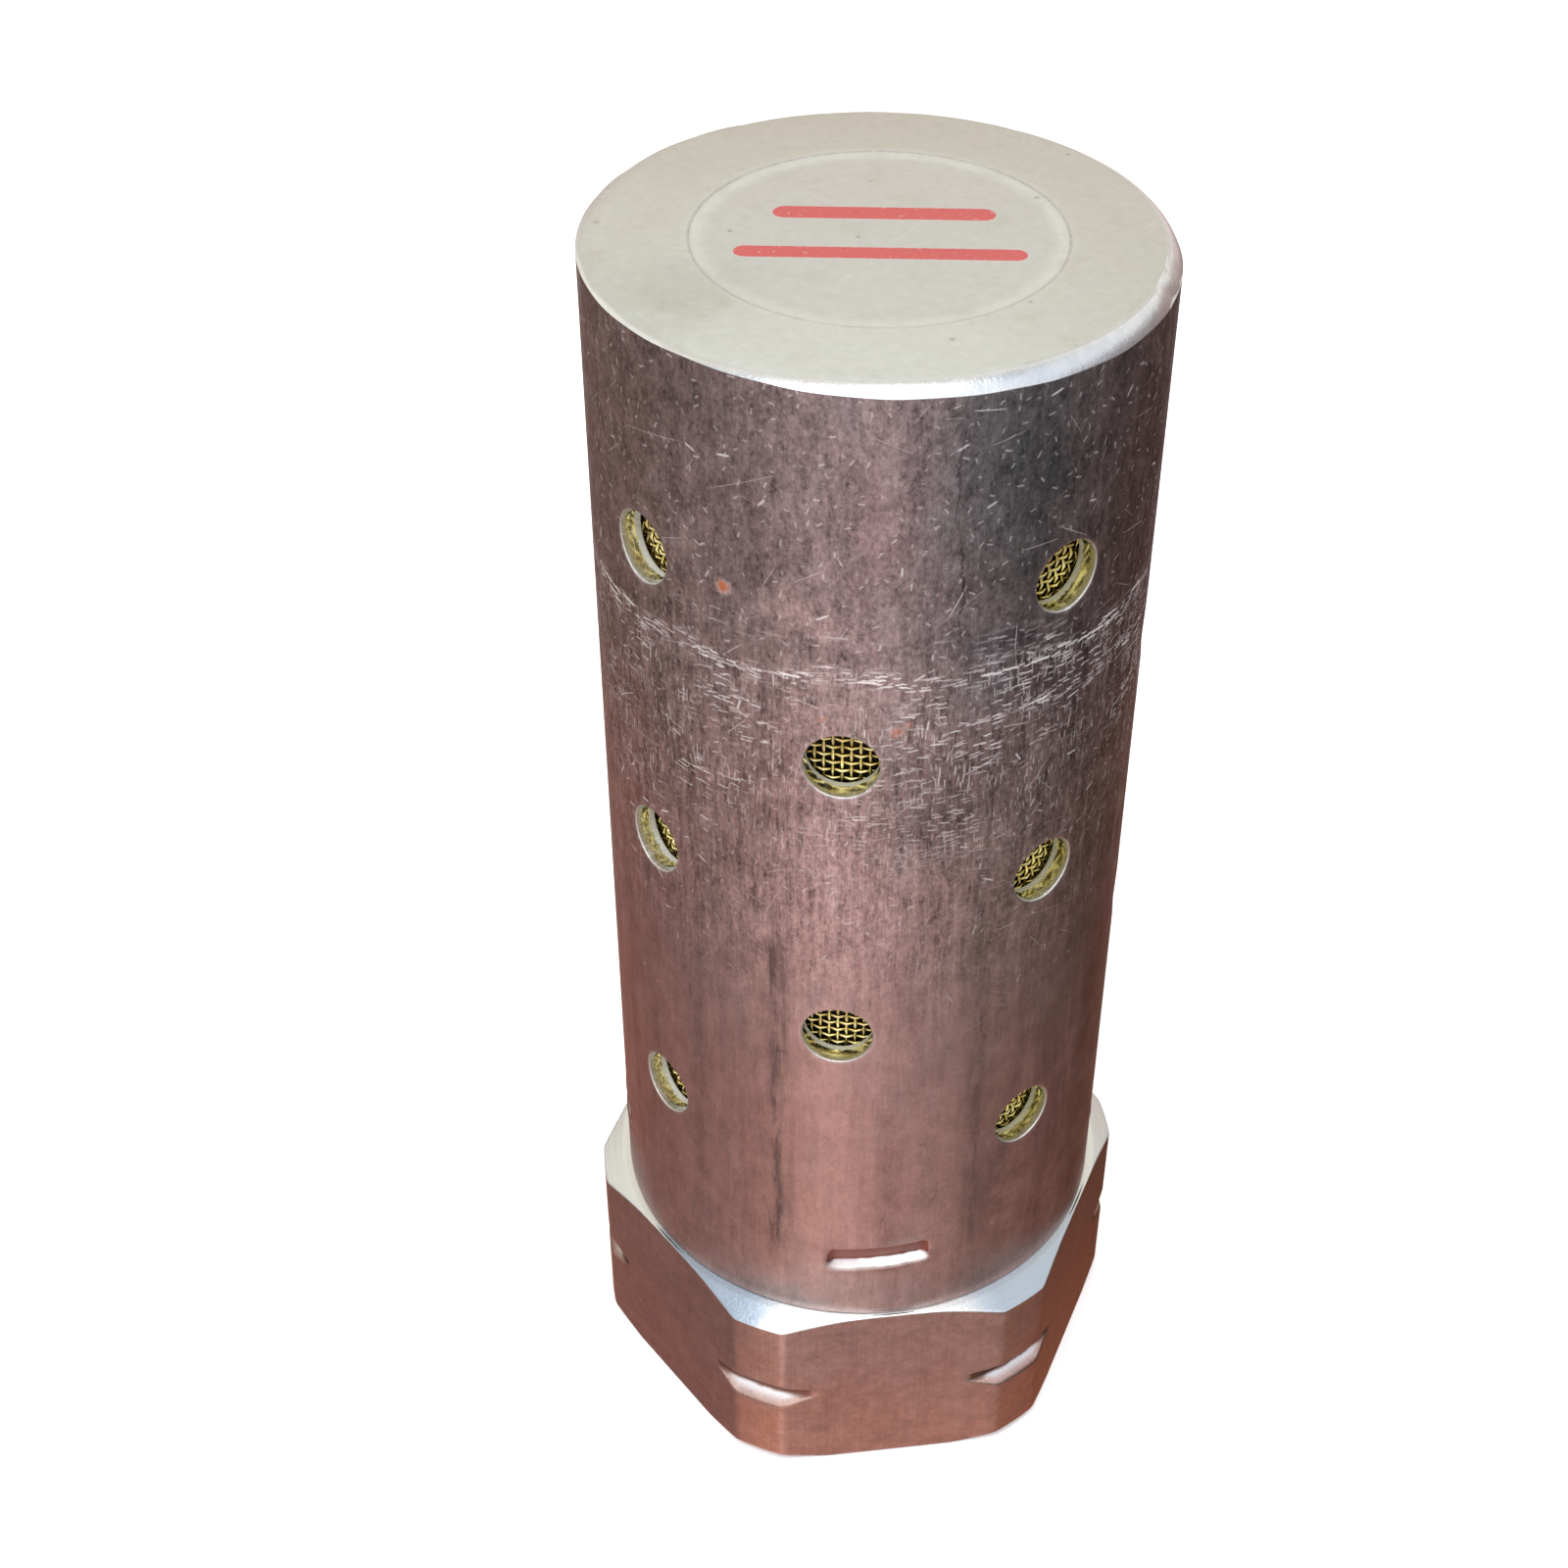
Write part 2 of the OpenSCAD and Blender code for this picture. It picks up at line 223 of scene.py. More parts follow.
def wall_azimuths():
    half = PATCH / 2 / CAN_R
    gap = COLUMN_STEP * DEG - 2 * half
    azimuths = []
    for column in range(COLUMNS):
        middle = (FIRST_COLUMN + COLUMN_STEP * column) * DEG
        azimuths += [middle - half + 2 * half * i / PATCH_STEPS for i in range(PATCH_STEPS)]
        azimuths += [middle + half + gap * i / COLUMN_GAP_STEPS for i in range(COLUMN_GAP_STEPS)]
    return np.array(azimuths)


def wall_heights():
    heights = []
    for row in range(ROWS):
        z = FIRST_ROW + ROW_PITCH * row - PATCH / 2
        heights += [z + PATCH * i / PATCH_STEPS for i in range(PATCH_STEPS)]
        if row < ROWS - 1:
            gap = ROW_PITCH - PATCH
            heights += [z + PATCH + gap * i / ROW_GAP_STEPS for i in range(ROW_GAP_STEPS)]
    heights.append(FIRST_ROW + ROW_PITCH * (ROWS - 1) + PATCH / 2)
    return np.array(heights)


def add_hole(net, outside, inside, first_row, first_column, azimuth, z_middle):
    """Rings from the outer square patch to the hole, through the wall, and out again inside."""
    outward, sideways = axes_at(azimuth)
    n = PATCH_STEPS
    square = ([(0, i) for i in range(n)] + [(i, n) for i in range(n)]
              + [(n, n - i) for i in range(n)] + [(n - i, 0) for i in range(n)])
    cells = [(first_row + row, (first_column + column) % outside.shape[1])
             for row, column in square]
    outer_square = np.array([outside[cell] for cell in cells])
    inner_square = np.array([inside[cell] for cell in cells])
    points = np.concatenate(net.points)
    outer_x = points[outer_square] @ sideways
    inner_x = points[inner_square] @ sideways
    square_z = points[outer_square][:, 2] - z_middle
    angle = (np.arange(4 * n) * 360.0 / (4 * n) - 135.0) * DEG

    def add(x, y, z, wear=0.0):
        return net.add(x[:, None] * sideways + y[:, None] * outward
                       + (z_middle + z)[:, None] * UP, wear)

    def ring(radius, depth, wall_r, blend=0.0, square_x=outer_x, wear=0.0):
        """Circle laid on the wall, blended towards the square patch."""
        x = (1 - blend) * radius * np.cos(angle) + blend * square_x
        z = (1 - blend) * radius * np.sin(angle) + blend * square_z
        return add(x, np.sqrt(wall_r * wall_r - x * x) - depth, z, wear)

    rings = [outer_square, ring(3.35, 0, CAN_R, 0.5), ring(2.95, 0, CAN_R)]
    rings += [ring(HOLE_R + beyond, depth, CAN_R, wear=wear) for beyond, depth, wear in HOLE_EDGE]
    x, z = HOLE_R * np.cos(angle), HOLE_R * np.sin(angle)
    outer_y = np.sqrt(CAN_R * CAN_R - x * x) - 0.14
    inner_y = np.sqrt(CAN_R_IN * CAN_R_IN - x * x) + 0.06
    rings += [add(x, outer_y + (inner_y - outer_y) * t, z) for t in (0.2, 0.45, 0.7, 0.93)]
    rings += [ring(HOLE_R, -0.06, CAN_R_IN), ring(HOLE_R + 0.02, -0.02, CAN_R_IN),
              ring(HOLE_R + 0.07, 0, CAN_R_IN), ring(2.95, 0, CAN_R_IN),
              ring(3.35, 0, CAN_R_IN, 0.5, inner_x), inner_square]
    for first, second in zip(rings, rings[1:]):
        net.loft(first, second)


def add_wall(net, azimuths, heights):
    """The drilled part of the wall. Returns the grids of its outer and inner points."""
    outside = np.array([net.add(polar(CAN_R, azimuths, z)) for z in heights])
    inside = np.array([net.add(polar(CAN_R_IN, azimuths, z)) for z in heights])
    holed = np.zeros((len(heights) - 1, len(azimuths)), bool)
    holes = []
    for column in range(COLUMNS):
        for row in ((1, 3) if column % 2 == 0 else (0, 2, 4)):
            first_row = row * (PATCH_STEPS + ROW_GAP_STEPS)
            first_column = column * (PATCH_STEPS + COLUMN_GAP_STEPS)
            holed[first_row:first_row + PATCH_STEPS,
                  first_column:first_column + PATCH_STEPS] = True
            azimuth = (FIRST_COLUMN + COLUMN_STEP * column) * DEG
            holes.append((first_row, first_column, azimuth, FIRST_ROW + ROW_PITCH * row))
    for grid in (outside, inside):
        low, high = grid[:-1], grid[1:]
        corners = (low, np.roll(low, -1, 1), np.roll(high, -1, 1), high)
        net.join(*(corner[~holed] for corner in corners))
    for hole in holes:
        add_hole(net, outside, inside, *hole)
    return outside, inside


def add_closed_end(net, ring, azimuths, z_start):
    """Outside of the can from the holes up: wall, rolled rim and end face."""
    # the rim is rolled a little further over on one side
    lean = np.clip(1 + 0.95 * np.sin(azimuths - VIEW_TURN * DEG), 0.42, 1.75)
    full = 1 - math.sin(RIM_START * DEG)
    rim_foot = (CAN_TOP - RIM_R * full * lean + 0.03 * np.sin(7 * azimuths)
                + 0.02 * np.sin(23 * azimuths + 1))
    for z in [*np.linspace(z_start, 95.6, 10)[1:], rim_foot - 0.5, rim_foot - 0.2,
              rim_foot - 0.03]:
        ring = net.extend(ring, polar(CAN_R, azimuths, z))
    dents = sum(depth * np.exp(-((((azimuths / DEG - at + 180) % 360) - 180) / width) ** 2)
                for at, depth, width in RIM_DENTS)
    for angle in RIM_ANGLES:
        bite = 0.15 if angle > 89 else math.sin(2 * angle * DEG) * (0.2 if angle < 35.5 else 1.0)
        radius = CAN_R - RIM_R * (math.cos(RIM_START * DEG) - math.cos(angle * DEG))
        z = CAN_TOP - (CAN_TOP - rim_foot) * (1 - math.sin(angle * DEG)) / full
        ring = net.extend(ring, polar(radius - dents * bite * 0.8, azimuths,
                                      z - dents * bite * 0.6), 1.0)
    for radius, rise, wear in END_FACE:
        ring = net.extend(ring, polar(radius, azimuths, CAN_TOP + rise), wear)
    net.fan(ring, (0, 0, CAN_TOP - 0.12))


def add_inner_end(net, ring, azimuths):
    for z in (88.5, 91.0, 93.5, CAN_TOP_IN - 0.8):
        ring = net.extend(ring, polar(CAN_R_IN, azimuths, z))
    for radius, z in INNER_END:
        ring = net.extend(ring, polar(radius, azimuths, z))
    net.fan(ring, (0, 0, CAN_TOP_IN))


def add_skirt(net, outer_ring, inner_ring, azimuths):
    """Wall below the holes, twice as fine outside, where it carries the chisel marks."""
    count = len(azimuths)
    fine = np.empty(2 * count)
    fine[0::2] = azimuths
    fine[1::2] = azimuths + np.diff(np.append(azimuths, azimuths[0] + 2 * math.pi)) / 2
    heights = np.concatenate([np.linspace(30.3, 26.2, 10), np.arange(26.0, 21.3, -0.11),
                              np.linspace(21.1, CAN_FOOT + 0.30, 10)])
    low = None
    for z in heights:
        points = polar(CAN_R - stake_depth(fine, z), fine, z)
        if low is None:
            low = net.add(points)
            net.halve(low, outer_ring)
        else:
            low = net.extend(low, points)
    edge = 0.12             # rounding of the open end
    for angle in (0, 22.5, 45, 67.5, 90):
        radius = CAN_R - edge + edge * math.cos(angle * DEG)
        low = net.extend(low, polar(radius, fine, CAN_FOOT + edge - edge * math.sin(angle * DEG)))
    # inside, with the metal the stakes push inwards
    ring = inner_ring
    for z in (29.5, 27.5, 26.0, 25.0, 24.6, 24.2, 23.6, 23.0, 22.6, 22.0, 20.5, 19.0,
              CAN_FOOT + 0.15):
        push = np.zeros(count)
        rise = math.exp(-(max(abs(z - STAKE_Z) - 0.5, 0) / 0.45) ** 2)
        for i in range(len(STAKE_TILTS)):
            aside = np.maximum(np.abs(from_stake(azimuths, i)) * CAN_R_IN - 2.6, 0)
            push += 0.45 * np.exp(-(aside / 0.8) ** 2) * rise
        ring = net.extend(ring, polar(CAN_R_IN - push, azimuths, z))
    ring = net.extend(ring, polar(CAN_R_IN + edge, azimuths, CAN_FOOT))
    net.halve(low, ring)


def build_can():
    net = Net()
    azimuths, heights = wall_azimuths(), wall_heights()
    outside, inside = add_wall(net, azimuths, heights)
    add_closed_end(net, outside[-1], azimuths, heights[-1])
    add_inner_end(net, inside[-1], azimuths)
    add_skirt(net, outside[0], inside[0], azimuths)
    return net.make("can_body", sharp=40)


# ---------------------------------------------------------------- hexagon adapter
# wear along one sector, highest on the two creases
CREASE_WEAR = np.array([0, 0, 0.15, 0.3, 0.15, 0, 0])
SECTOR_WEAR = np.concatenate([np.zeros(8), CREASE_WEAR, np.zeros(7), CREASE_WEAR, np.zeros(7)])
CHAMFER_Z = HEX_TOP - TOP_DROP
HEX_LEVELS = [      # height, inset, wear (None: sunk depth), whether flats wear too
    (0.0, 0.16, 0.5, True), (0.0, 0.06, 0.9, True), (0.02, 0.02, 1.0, True),
    (0.06, 0, 1.0, True), (0.14, 0, 0.5, True), (0.25, 0, 0, False), (0.38, 0, 0, False),
    (FOOT_DROP - 0.16, 0, 0.1, False), (FOOT_DROP - 0.05, 0, 0.6, False),
    (FOOT_DROP + 0.03, 0, 0.7, False), (FOOT_DROP + 0.12, 0, 0.1, False),
    *((z, 0, 0, False) for z in (1.0, 1.4, 1.9, 2.7, 3.5, 4.3, 5.1, 5.8, 6.3)),
    *((GROOVE_Z + rise, 0, None, False) for rise in np.concatenate([
        np.arange(-1.62, -0.9, 0.07), np.arange(-0.88, 0.2, 0.08), np.arange(0.25, 1.5, 0.08)])),
    *((z, 0, 0, False) for z in (9.8, 10.2, 10.7, 11.5, 12.3, 13.1, 13.9, 14.6, 15.2, 15.6)),
    (CHAMFER_Z - 0.1, 0, 0.1, False), (CHAMFER_Z - 0.02, 0, 0.7, False),
    (CHAMFER_Z + 0.03, 0, 0.7, False), (CHAMFER_Z + 0.1, 0, 0.1, False),
    *((CHAMFER_Z + rise, 0, 0, False) for rise in (0.25, 0.42, 0.6, 0.74)),
    (HEX_TOP - 0.11, 0, 0.3, True), (HEX_TOP - 0.05, 0.004, 0.9, True),
    (HEX_TOP - 0.015, 0.025, 1.0, True), (HEX_TOP, 0.07, 1.0, True),
    (HEX_TOP, 0.14, 0.6, True), (HEX_TOP, 0.24, 0.1, True)]
KNOCKS = [          # azimuth, height, half width, half height, depth
    (-56.5, 11.3, 0.55, 0.32, 0.12), (3.0, 11.9, 0.5, 0.4, -0.05), (31.0, 3.0, 0.7, 0.4, 0.10),
    (118.0, 12.5, 0.6, 0.5, 0.09), (-122.0, 5.0, 0.8, 0.3, 0.08), (171.0, 10.5, 0.6, 0.6, 0.07),
    (-33.0, 4.6, 0.5, 0.25, 0.07)]
SPIGOT = [          # radius, height: top face, spigot with its stake groove, counterbore
    (18.92, HEX_TOP), (18.4, HEX_TOP), (17.8, HEX_TOP), (17.3, HEX_TOP), (SPIGOT_R, HEX_TOP),
    (SPIGOT_R, 19.5), (SPIGOT_R, STAKE_Z - 1.9), (SPIGOT_R - 0.7, STAKE_Z - 1.2),
    (SPIGOT_R - 0.7, STAKE_Z + 1.2), (SPIGOT_R, STAKE_Z + 1.9), (SPIGOT_R, SPIGOT_TOP - 0.5),
    (SPIGOT_R - 0.5, SPIGOT_TOP), (14.5, SPIGOT_TOP), (12.3, SPIGOT_TOP),
    (12.3, SPIGOT_TOP - 2.5), (12.3, SPIGOT_TOP - 5), (10.3, SPIGOT_TOP - 5), (10.3, 19.0),
    (10.3, 16.0), (11.4, 16.0)]


def sector_angles(crease):
    """Angles from one flat's middle to the next, bunched around the creases (degrees)."""
    near = crease + np.array([-1.8, -1.1, -0.5, 0.0, 0.5, 1.1, 1.8])
    half = np.concatenate([np.linspace(0, near[0], 9)[:-1], near])
    corner = np.linspace(near[-1], 60 - near[-1], 9)[1:-1]
    return np.concatenate([half, corner, (60 - half[::-1])[:-1]])


def smooth_min(first, second, blend):
    overlap = np.maximum(blend - np.abs(first - second), 0) / blend
    return np.minimum(first, second) - overlap * overlap * blend / 4


def turned_radius(z):
    """Radius of the turned profile before the flats are cut."""
    radius = CORNER_R
    if z < FOOT_DROP:
        radius = CORNER_R - (FOOT_DROP - z) / math.tan(30 * DEG)
    if z > CHAMFER_Z:
        radius = CORNER_R - (z - HEX_TOP + TOP_DROP) / math.tan(30 * DEG)
    rise = z - GROOVE_Z
    if -2.2 < rise < 2.0:
        upper = (GROOVE_ABOVE - rise) * GROOVE_DEPTH / (GROOVE_ABOVE - 0.3)
        lower = (rise + GROOVE_BELOW) * GROOVE_DEPTH / (GROOVE_BELOW - 0.35)
        depth = smooth_min(smooth_min(GROOVE_DEPTH, upper, 0.25), lower, 0.22)
        radius += smooth_min(-depth, 0.0, 0.22 if rise < 0 else 0.16)
    return radius


def hex_ring(z, inset, wear, whole):
    """Points, wear and azimuths of one level of the hexagon."""
    turned = turned_radius(z)
    crease = math.degrees(math.acos(min(HALF_FLATS / max(turned, HALF_FLATS + 0.02), 1.0)))
    sector = sector_angles(min(max(crease, 3.0), 27.5))
    flat = HALF_FLATS / np.cos(np.minimum(sector, 60 - sector) * DEG)
    radius = smooth_min(turned, flat, 0.17)
    if wear is None:
        sunk = np.minimum(CORNER_R, flat) - radius
        worn = -np.clip(sunk / GROOVE_DEPTH, 0, 1)
    else:
        worn = np.maximum(SECTOR_WEAR, wear * (1.0 if whole else radius < flat - 0.02))
    azimuth = np.concatenate([(sector + 60 * side) * DEG for side in range(6)])
    return polar(np.tile(radius, 6) - inset, azimuth, z), np.tile(worn, 6), azimuth


def add_knocks(net):
    """Small dints and bruises on the outside of the hexagon."""
    points = np.concatenate(net.points)
    for azimuth, z, half_width, half_height, depth in KNOCKS:
        outward, sideways = axes_at(azimuth * DEG)
        heights = points[:, 2]
        bell = np.exp(-(((points @ sideways) / half_width) ** 2)
                      - ((heights - z) / half_height) ** 2)
        bell = bell * (points @ outward > 15) * (heights > 0.6) * (heights < HEX_TOP - 1.0)
        points = points - bell[:, None] * depth * outward
    net.points = [points]


def build_hex():
    net = Net()
    ring = first_ring = None
    for level in HEX_LEVELS:
        points, wear, azimuth = hex_ring(*level)
        if ring is None:
            ring = first_ring = net.add(points, wear)
        else:
            ring = net.extend(ring, points, wear)
    add_knocks(net)
    for radius, z in SPIGOT:
        ring = net.extend(ring, polar(radius, azimuth, z))
    # port thread, from the shoulder down to the mouth
    for z in np.arange(15.9, -0.001, -THREAD_PITCH / 20):
        phase = (z / THREAD_PITCH - azimuth / (2 * math.pi)) % 1.0
        profile = np.clip(np.abs(2 * phase - 1) * 2 - 1, -0.82, 0.82) / 0.82    # crests a bit flat
        depth = THREAD_DEPTH * np.clip((15.0 - z) / 1.6, 0, 1)
        radius = PORT_R + z * -0.010 + depth * profile
        mouth = PORT_R + 1.3 - z
        ring = net.extend(ring, polar(np.maximum(radius, mouth), azimuth, z))
    for radius in (14.0, 15.5, 17.0, 18.2):
        ring = net.extend(ring, polar(radius, azimuth, 0.0))
    net.loft(ring, first_ring)
    return net.make("adapter_body", sharp=32)


# ---------------------------------------------------------------- wire cloth
WIRES, WIRE_R, WIRE_SIDES = 172, 0.122, 5
CLOTH_R = NET_HI[0] - 0.25
CLOTH_DRIFT = 0.10              # how far the wires wander, mm


def sweep(net, centre, across, upward, closed):
    """Tubes along rows of centres; the three arrays are (wires, samples, 3)."""
    angle = 2 * math.pi * np.arange(WIRE_SIDES) / WIRE_SIDES
    ring = centre[:, :, None, :] + WIRE_R * (
        np.cos(angle)[None, None, :, None] * across[:, :, None, :]
        + np.sin(angle)[None, None, :, None] * upward[:, :, None, :])
    tubes = net.add(ring).reshape(*centre.shape[:2], WIRE_SIDES)
    start = tubes if closed else tubes[:, :-1]
    end = np.roll(tubes, -1, 1) if closed else tubes[:, 1:]
    net.join(start, np.roll(start, -1, 2), np.roll(end, -1, 2), end)
    if not closed:
        net.faces.extend(tubes[:, 0, ::-1].tolist())
        net.faces.extend(tubes[:, -1].tolist())


def drift(azimuths, heights, radius, rate, offset=0.0):
    return np.array([[noise.noise(Vector((math.sin(a) * radius + offset, math.cos(a) * radius,
                                          z * rate))) for z in heights] for a in azimuths])


def build_cloth():
    """Upright warp wires and round weft wires, woven over and under by one wire radius."""
    azimuths = 2 * math.pi * np.arange(WIRES) / WIRES
    low, high = NET_LO[2] + 0.14, NET_HI[2] - 0.14
    levels = int(round((high - low) / (2 * math.pi * CLOTH_R / WIRES))) + 1
    heights = np.linspace(low, high, levels)
    parity = (np.arange(WIRES)[:, None] + np.arange(levels)[None, :]) % 2
    weave = WIRE_R * np.where(parity == 0, 1.0, -1.0)
    azimuth = azimuths[:, None] + drift(azimuths, heights, 3.1, 0.12) * CLOTH_DRIFT / CLOTH_R
    z = heights[None, :] + drift(azimuths, heights, 2.3, 0.16, 9) * CLOTH_DRIFT
    outward = polar(1.0, azimuth, 0.0)
    sideways = np.stack([np.cos(azimuth), np.sin(azimuth), np.zeros_like(azimuth)], -1)
    upward = np.broadcast_to(UP, outward.shape)

    warp = Net()
    sweep(warp, polar(CLOTH_R + weave, azimuth, z), outward, sideways, closed=False)
    warp_object = warp.make("screen_warp_wires")
    weft = Net()
    rows = [grid.transpose(1, 0, 2)
            for grid in (polar(CLOTH_R - weave, azimuth, z), outward, upward)]
    sweep(weft, *rows, closed=True)
    return warp_object, weft.make("screen_weft_wires")


# ---------------------------------------------------------------- felt packing
def build_felt():
    net = Net()
    outer_r, low, high = FELT_HI[0], FELT_LO[2], FELT_HI[2]
    inner_r = outer_r - 2.9
    azimuths = 2 * math.pi * np.arange(220) / 220

    def fuzz(radius, z, scale):
        return np.array([noise.fractal(Vector((radius * math.sin(a) * scale,
                                               radius * math.cos(a) * scale, z * scale)),
                                       0.9, 2.1, 4) for a in azimuths])

    ring = first_ring = None
    for z in np.linspace(low, high, 150):
        radius = np.minimum(outer_r - 0.12 - 0.11 * fuzz(outer_r, z, 0.9), outer_r)
        if ring is None:
            ring = first_ring = net.add(polar(radius, azimuths, z))
        else:
            ring = net.extend(ring, polar(radius, azimuths, z))
    for z in np.linspace(high, low, 40):
        radius = np.maximum(inner_r + 0.1 + 0.08 * fuzz(inner_r, z, 0.8), inner_r)
        ring = net.extend(ring, polar(radius, azimuths, z))
    net.loft(ring, first_ring)
    return net.make("felt_packing")


# ---------------------------------------------------------------- shader graphs
class Value:
    """A shader socket that takes arithmetic: each step adds a Math or Vector Math node."""

    def __init__(self, graph, socket):
        self.graph, self.socket = graph, socket

    def join(self, operation, first, second):
        is_vector = self.socket.type == "VECTOR"
        make = self.graph.vector if is_vector else self.graph.math
        return make(operation, first, second)

    def __add__(self, other):
        return self.join("ADD", self, other)

    def __radd__(self, other):
        return self.join("ADD", other, self)

    def __sub__(self, other):
        return self.join("SUBTRACT", self, other)

    def __rsub__(self, other):
        return self.join("SUBTRACT", other, self)

    def __mul__(self, other):
        return self.join("MULTIPLY", self, other)

    def __truediv__(self, other):
        return self.join("DIVIDE", self, other)

    def __abs__(self):
        return self.graph.math("ABSOLUTE", self)

    def max(self, other):
        return self.graph.math("MAXIMUM", self, other)

    def min(self, other):
        return self.graph.math("MINIMUM", self, other)

    def clamped(self):
        """Clamps the node that has just been made to 0..1."""
        self.socket.node.use_clamp = True
        return self

    def swing(self, size):
        """A 0..1 noise turned into a swing about zero."""
        return (self - 0.5) * size

    def fade(self, start, end, low=0.0, high=1.0, kind="SMOOTHSTEP"):
        """low at start, high at end; start may be the larger."""
        return self.graph.out("ShaderNodeMapRange", 0,
                              {0: self, 1: start, 2: end, 3: low, 4: high},
                              interpolation_type=kind)

    def bell(self, centre, width):
        """1 at the centre, about 0 past two widths."""
        away = (self - centre) / width
        return self.graph.math("EXPONENT", away * away * -1.0)

    def scaled(self, scale):
        return self.graph.out("ShaderNodeVectorMath", "Vector", {0: self, "Scale": scale},
                              operation="SCALE")

    def xyz(self):
        node = self.graph.node("ShaderNodeSeparateXYZ", {0: self})
        return [Value(self.graph, output) for output in node.outputs]


class Graph:
    """Makes nodes in one tree. Inputs may be Values, numbers or tuples."""

    def __init__(self, tree):
        self.tree = tree
        tree.nodes.clear()

    def node(self, kind, feeds=None, **settings):
        node = self.tree.nodes.new(kind)
        for name, value in settings.items():
            setattr(node, name, value)
        for key, value in (feeds or {}).items():
            self.feed(node.inputs[key], value)
        return node

    def feed(self, socket, value):
        if isinstance(value, Value):
            self.tree.links.new(value.socket, socket)
        elif isinstance(value, tuple) and len(value) == 3 and socket.type == "RGBA":
            socket.default_value = (*value, 1.0)
        else:
            socket.default_value = value

    def out(self, kind, output=0, feeds=None, **settings):
        return Value(self, self.node(kind, feeds, **settings).outputs[output])

    def math(self, operation, *values):
        return self.out("ShaderNodeMath", 0, dict(enumerate(values)), operation=operation)

    def vector(self, operation, *values):
        output = "Value" if operation in ("DOT_PRODUCT", "DISTANCE") else "Vector"
        return self.out("ShaderNodeVectorMath", output, dict(enumerate(values)),
                        operation=operation)

    def combine(self, x, y, z):
        return self.out("ShaderNodeCombineXYZ", 0, {0: x, 1: y, 2: z})

    def noise(self, vector, scale=1.0, detail=3.0, rough=0.5, distortion=0.0):
        return self.out("ShaderNodeTexNoise", "Fac", {
            "Vector": vector, "Scale": scale, "Detail": detail, "Roughness": rough,
            "Distortion": distortion})

    def mix(self, share, first, second, mode="MIX"):
        return self.out("ShaderNodeMix", 2, {0: share, 6: first, 7: second},
                        data_type="RGBA", blend_type=mode)

    def tint(self, colour, tint):
        return self.mix(1.0, colour, tint, "MULTIPLY")

    def shade(self, colour, tone):
        return self.tint(colour, self.combine(tone, tone, tone))

    def glossy_ray(self):
        return self.out("ShaderNodeLightPath", "Is Glossy Ray")

    def wear(self):
        return self.out("ShaderNodeAttribute", "Fac", attribute_name="wear")

    def facing_up(self):
        return self.out("ShaderNodeNewGeometry", "True Normal").xyz()[2]

    def surface(self, colour, metallic, rough, height=None, depth=0.0, strength=1.0):
        """Feeds the material's surface; height is bump, depth its distance in metres."""
        feeds = {"Base Color": colour, "Metallic": metallic, "Roughness": rough}
        if height is not None:
            feeds["Normal"] = self.out("ShaderNodeBump", 0, {
                "Strength": strength, "Distance": depth, "Height": height})
        for name, value in feeds.items():
            self.feed(self.bsdf.inputs[name], value)


def new_material(name):
    """A material and its graph, with the object's point in mm as graph.point."""
    material = bpy.data.materials.new(name)
    material.use_nodes = True
    graph = Graph(material.node_tree)
    graph.bsdf = graph.node("ShaderNodeBsdfPrincipled")
    graph.node("ShaderNodeOutputMaterial", {0: Value(graph, graph.bsdf.outputs[0])})
    graph.point = graph.out("ShaderNodeTexCoord", "Object").scaled(1000.0)
    return material, graph


def length_of(x, y):
    return x.graph.math("SQRT", x * x + y * y)


def azimuth_of(x, y):
    return x.graph.math("ARCTAN2", x, y * -1.0)


def along_across(u, v, cosine, sine):
    """Distances along and across a line through the origin with the given direction."""
    return abs(u * cosine + v * sine), abs(v * cosine - u * sine)


STROKES = {     # cells per mm along u and v, seed, length, width, lean, lean spread, threshold
    "belt long": (0.62, 2.2, 3.3, 0.85, 0.125, 0.0, 0.22, 0.26),
    "belt short": (1.05, 3.4, 7.9, 0.50, 0.090, 0.03, 0.40, 0.40),
    "upright": (3.0, 1.2, 21.7, 0.55, 0.075, 1.57, 0.35, 0.40),
    "scratch long": (0.16, 0.16, 41.3, 3.0, 0.050, 0.35, 1.6, 0.72),
    "scratch mid": (0.33, 0.33, 53.9, 1.4, 0.052, 0.2, 2.6, 0.70),
    "scratch short": (0.30, 0.30, 67.1, 1.1, 0.060, 0.6, 2.0, 0.76),
    "nick": (0.50, 0.50, 83.5, 0.42, 0.110, 0.4, 3.0, 0.79),
    "tiny": (1.15, 1.15, 97.7, 0.24, 0.095, 0.2, 3.1, 0.50),
    "end long": (0.13, 0.13, 5.1, 3.0, 0.05, 0.9, 2.8, 0.62),
    "end short": (0.24, 0.24, 15.3, 0.5, 0.10, 0.3, 3.0, 0.80),
}


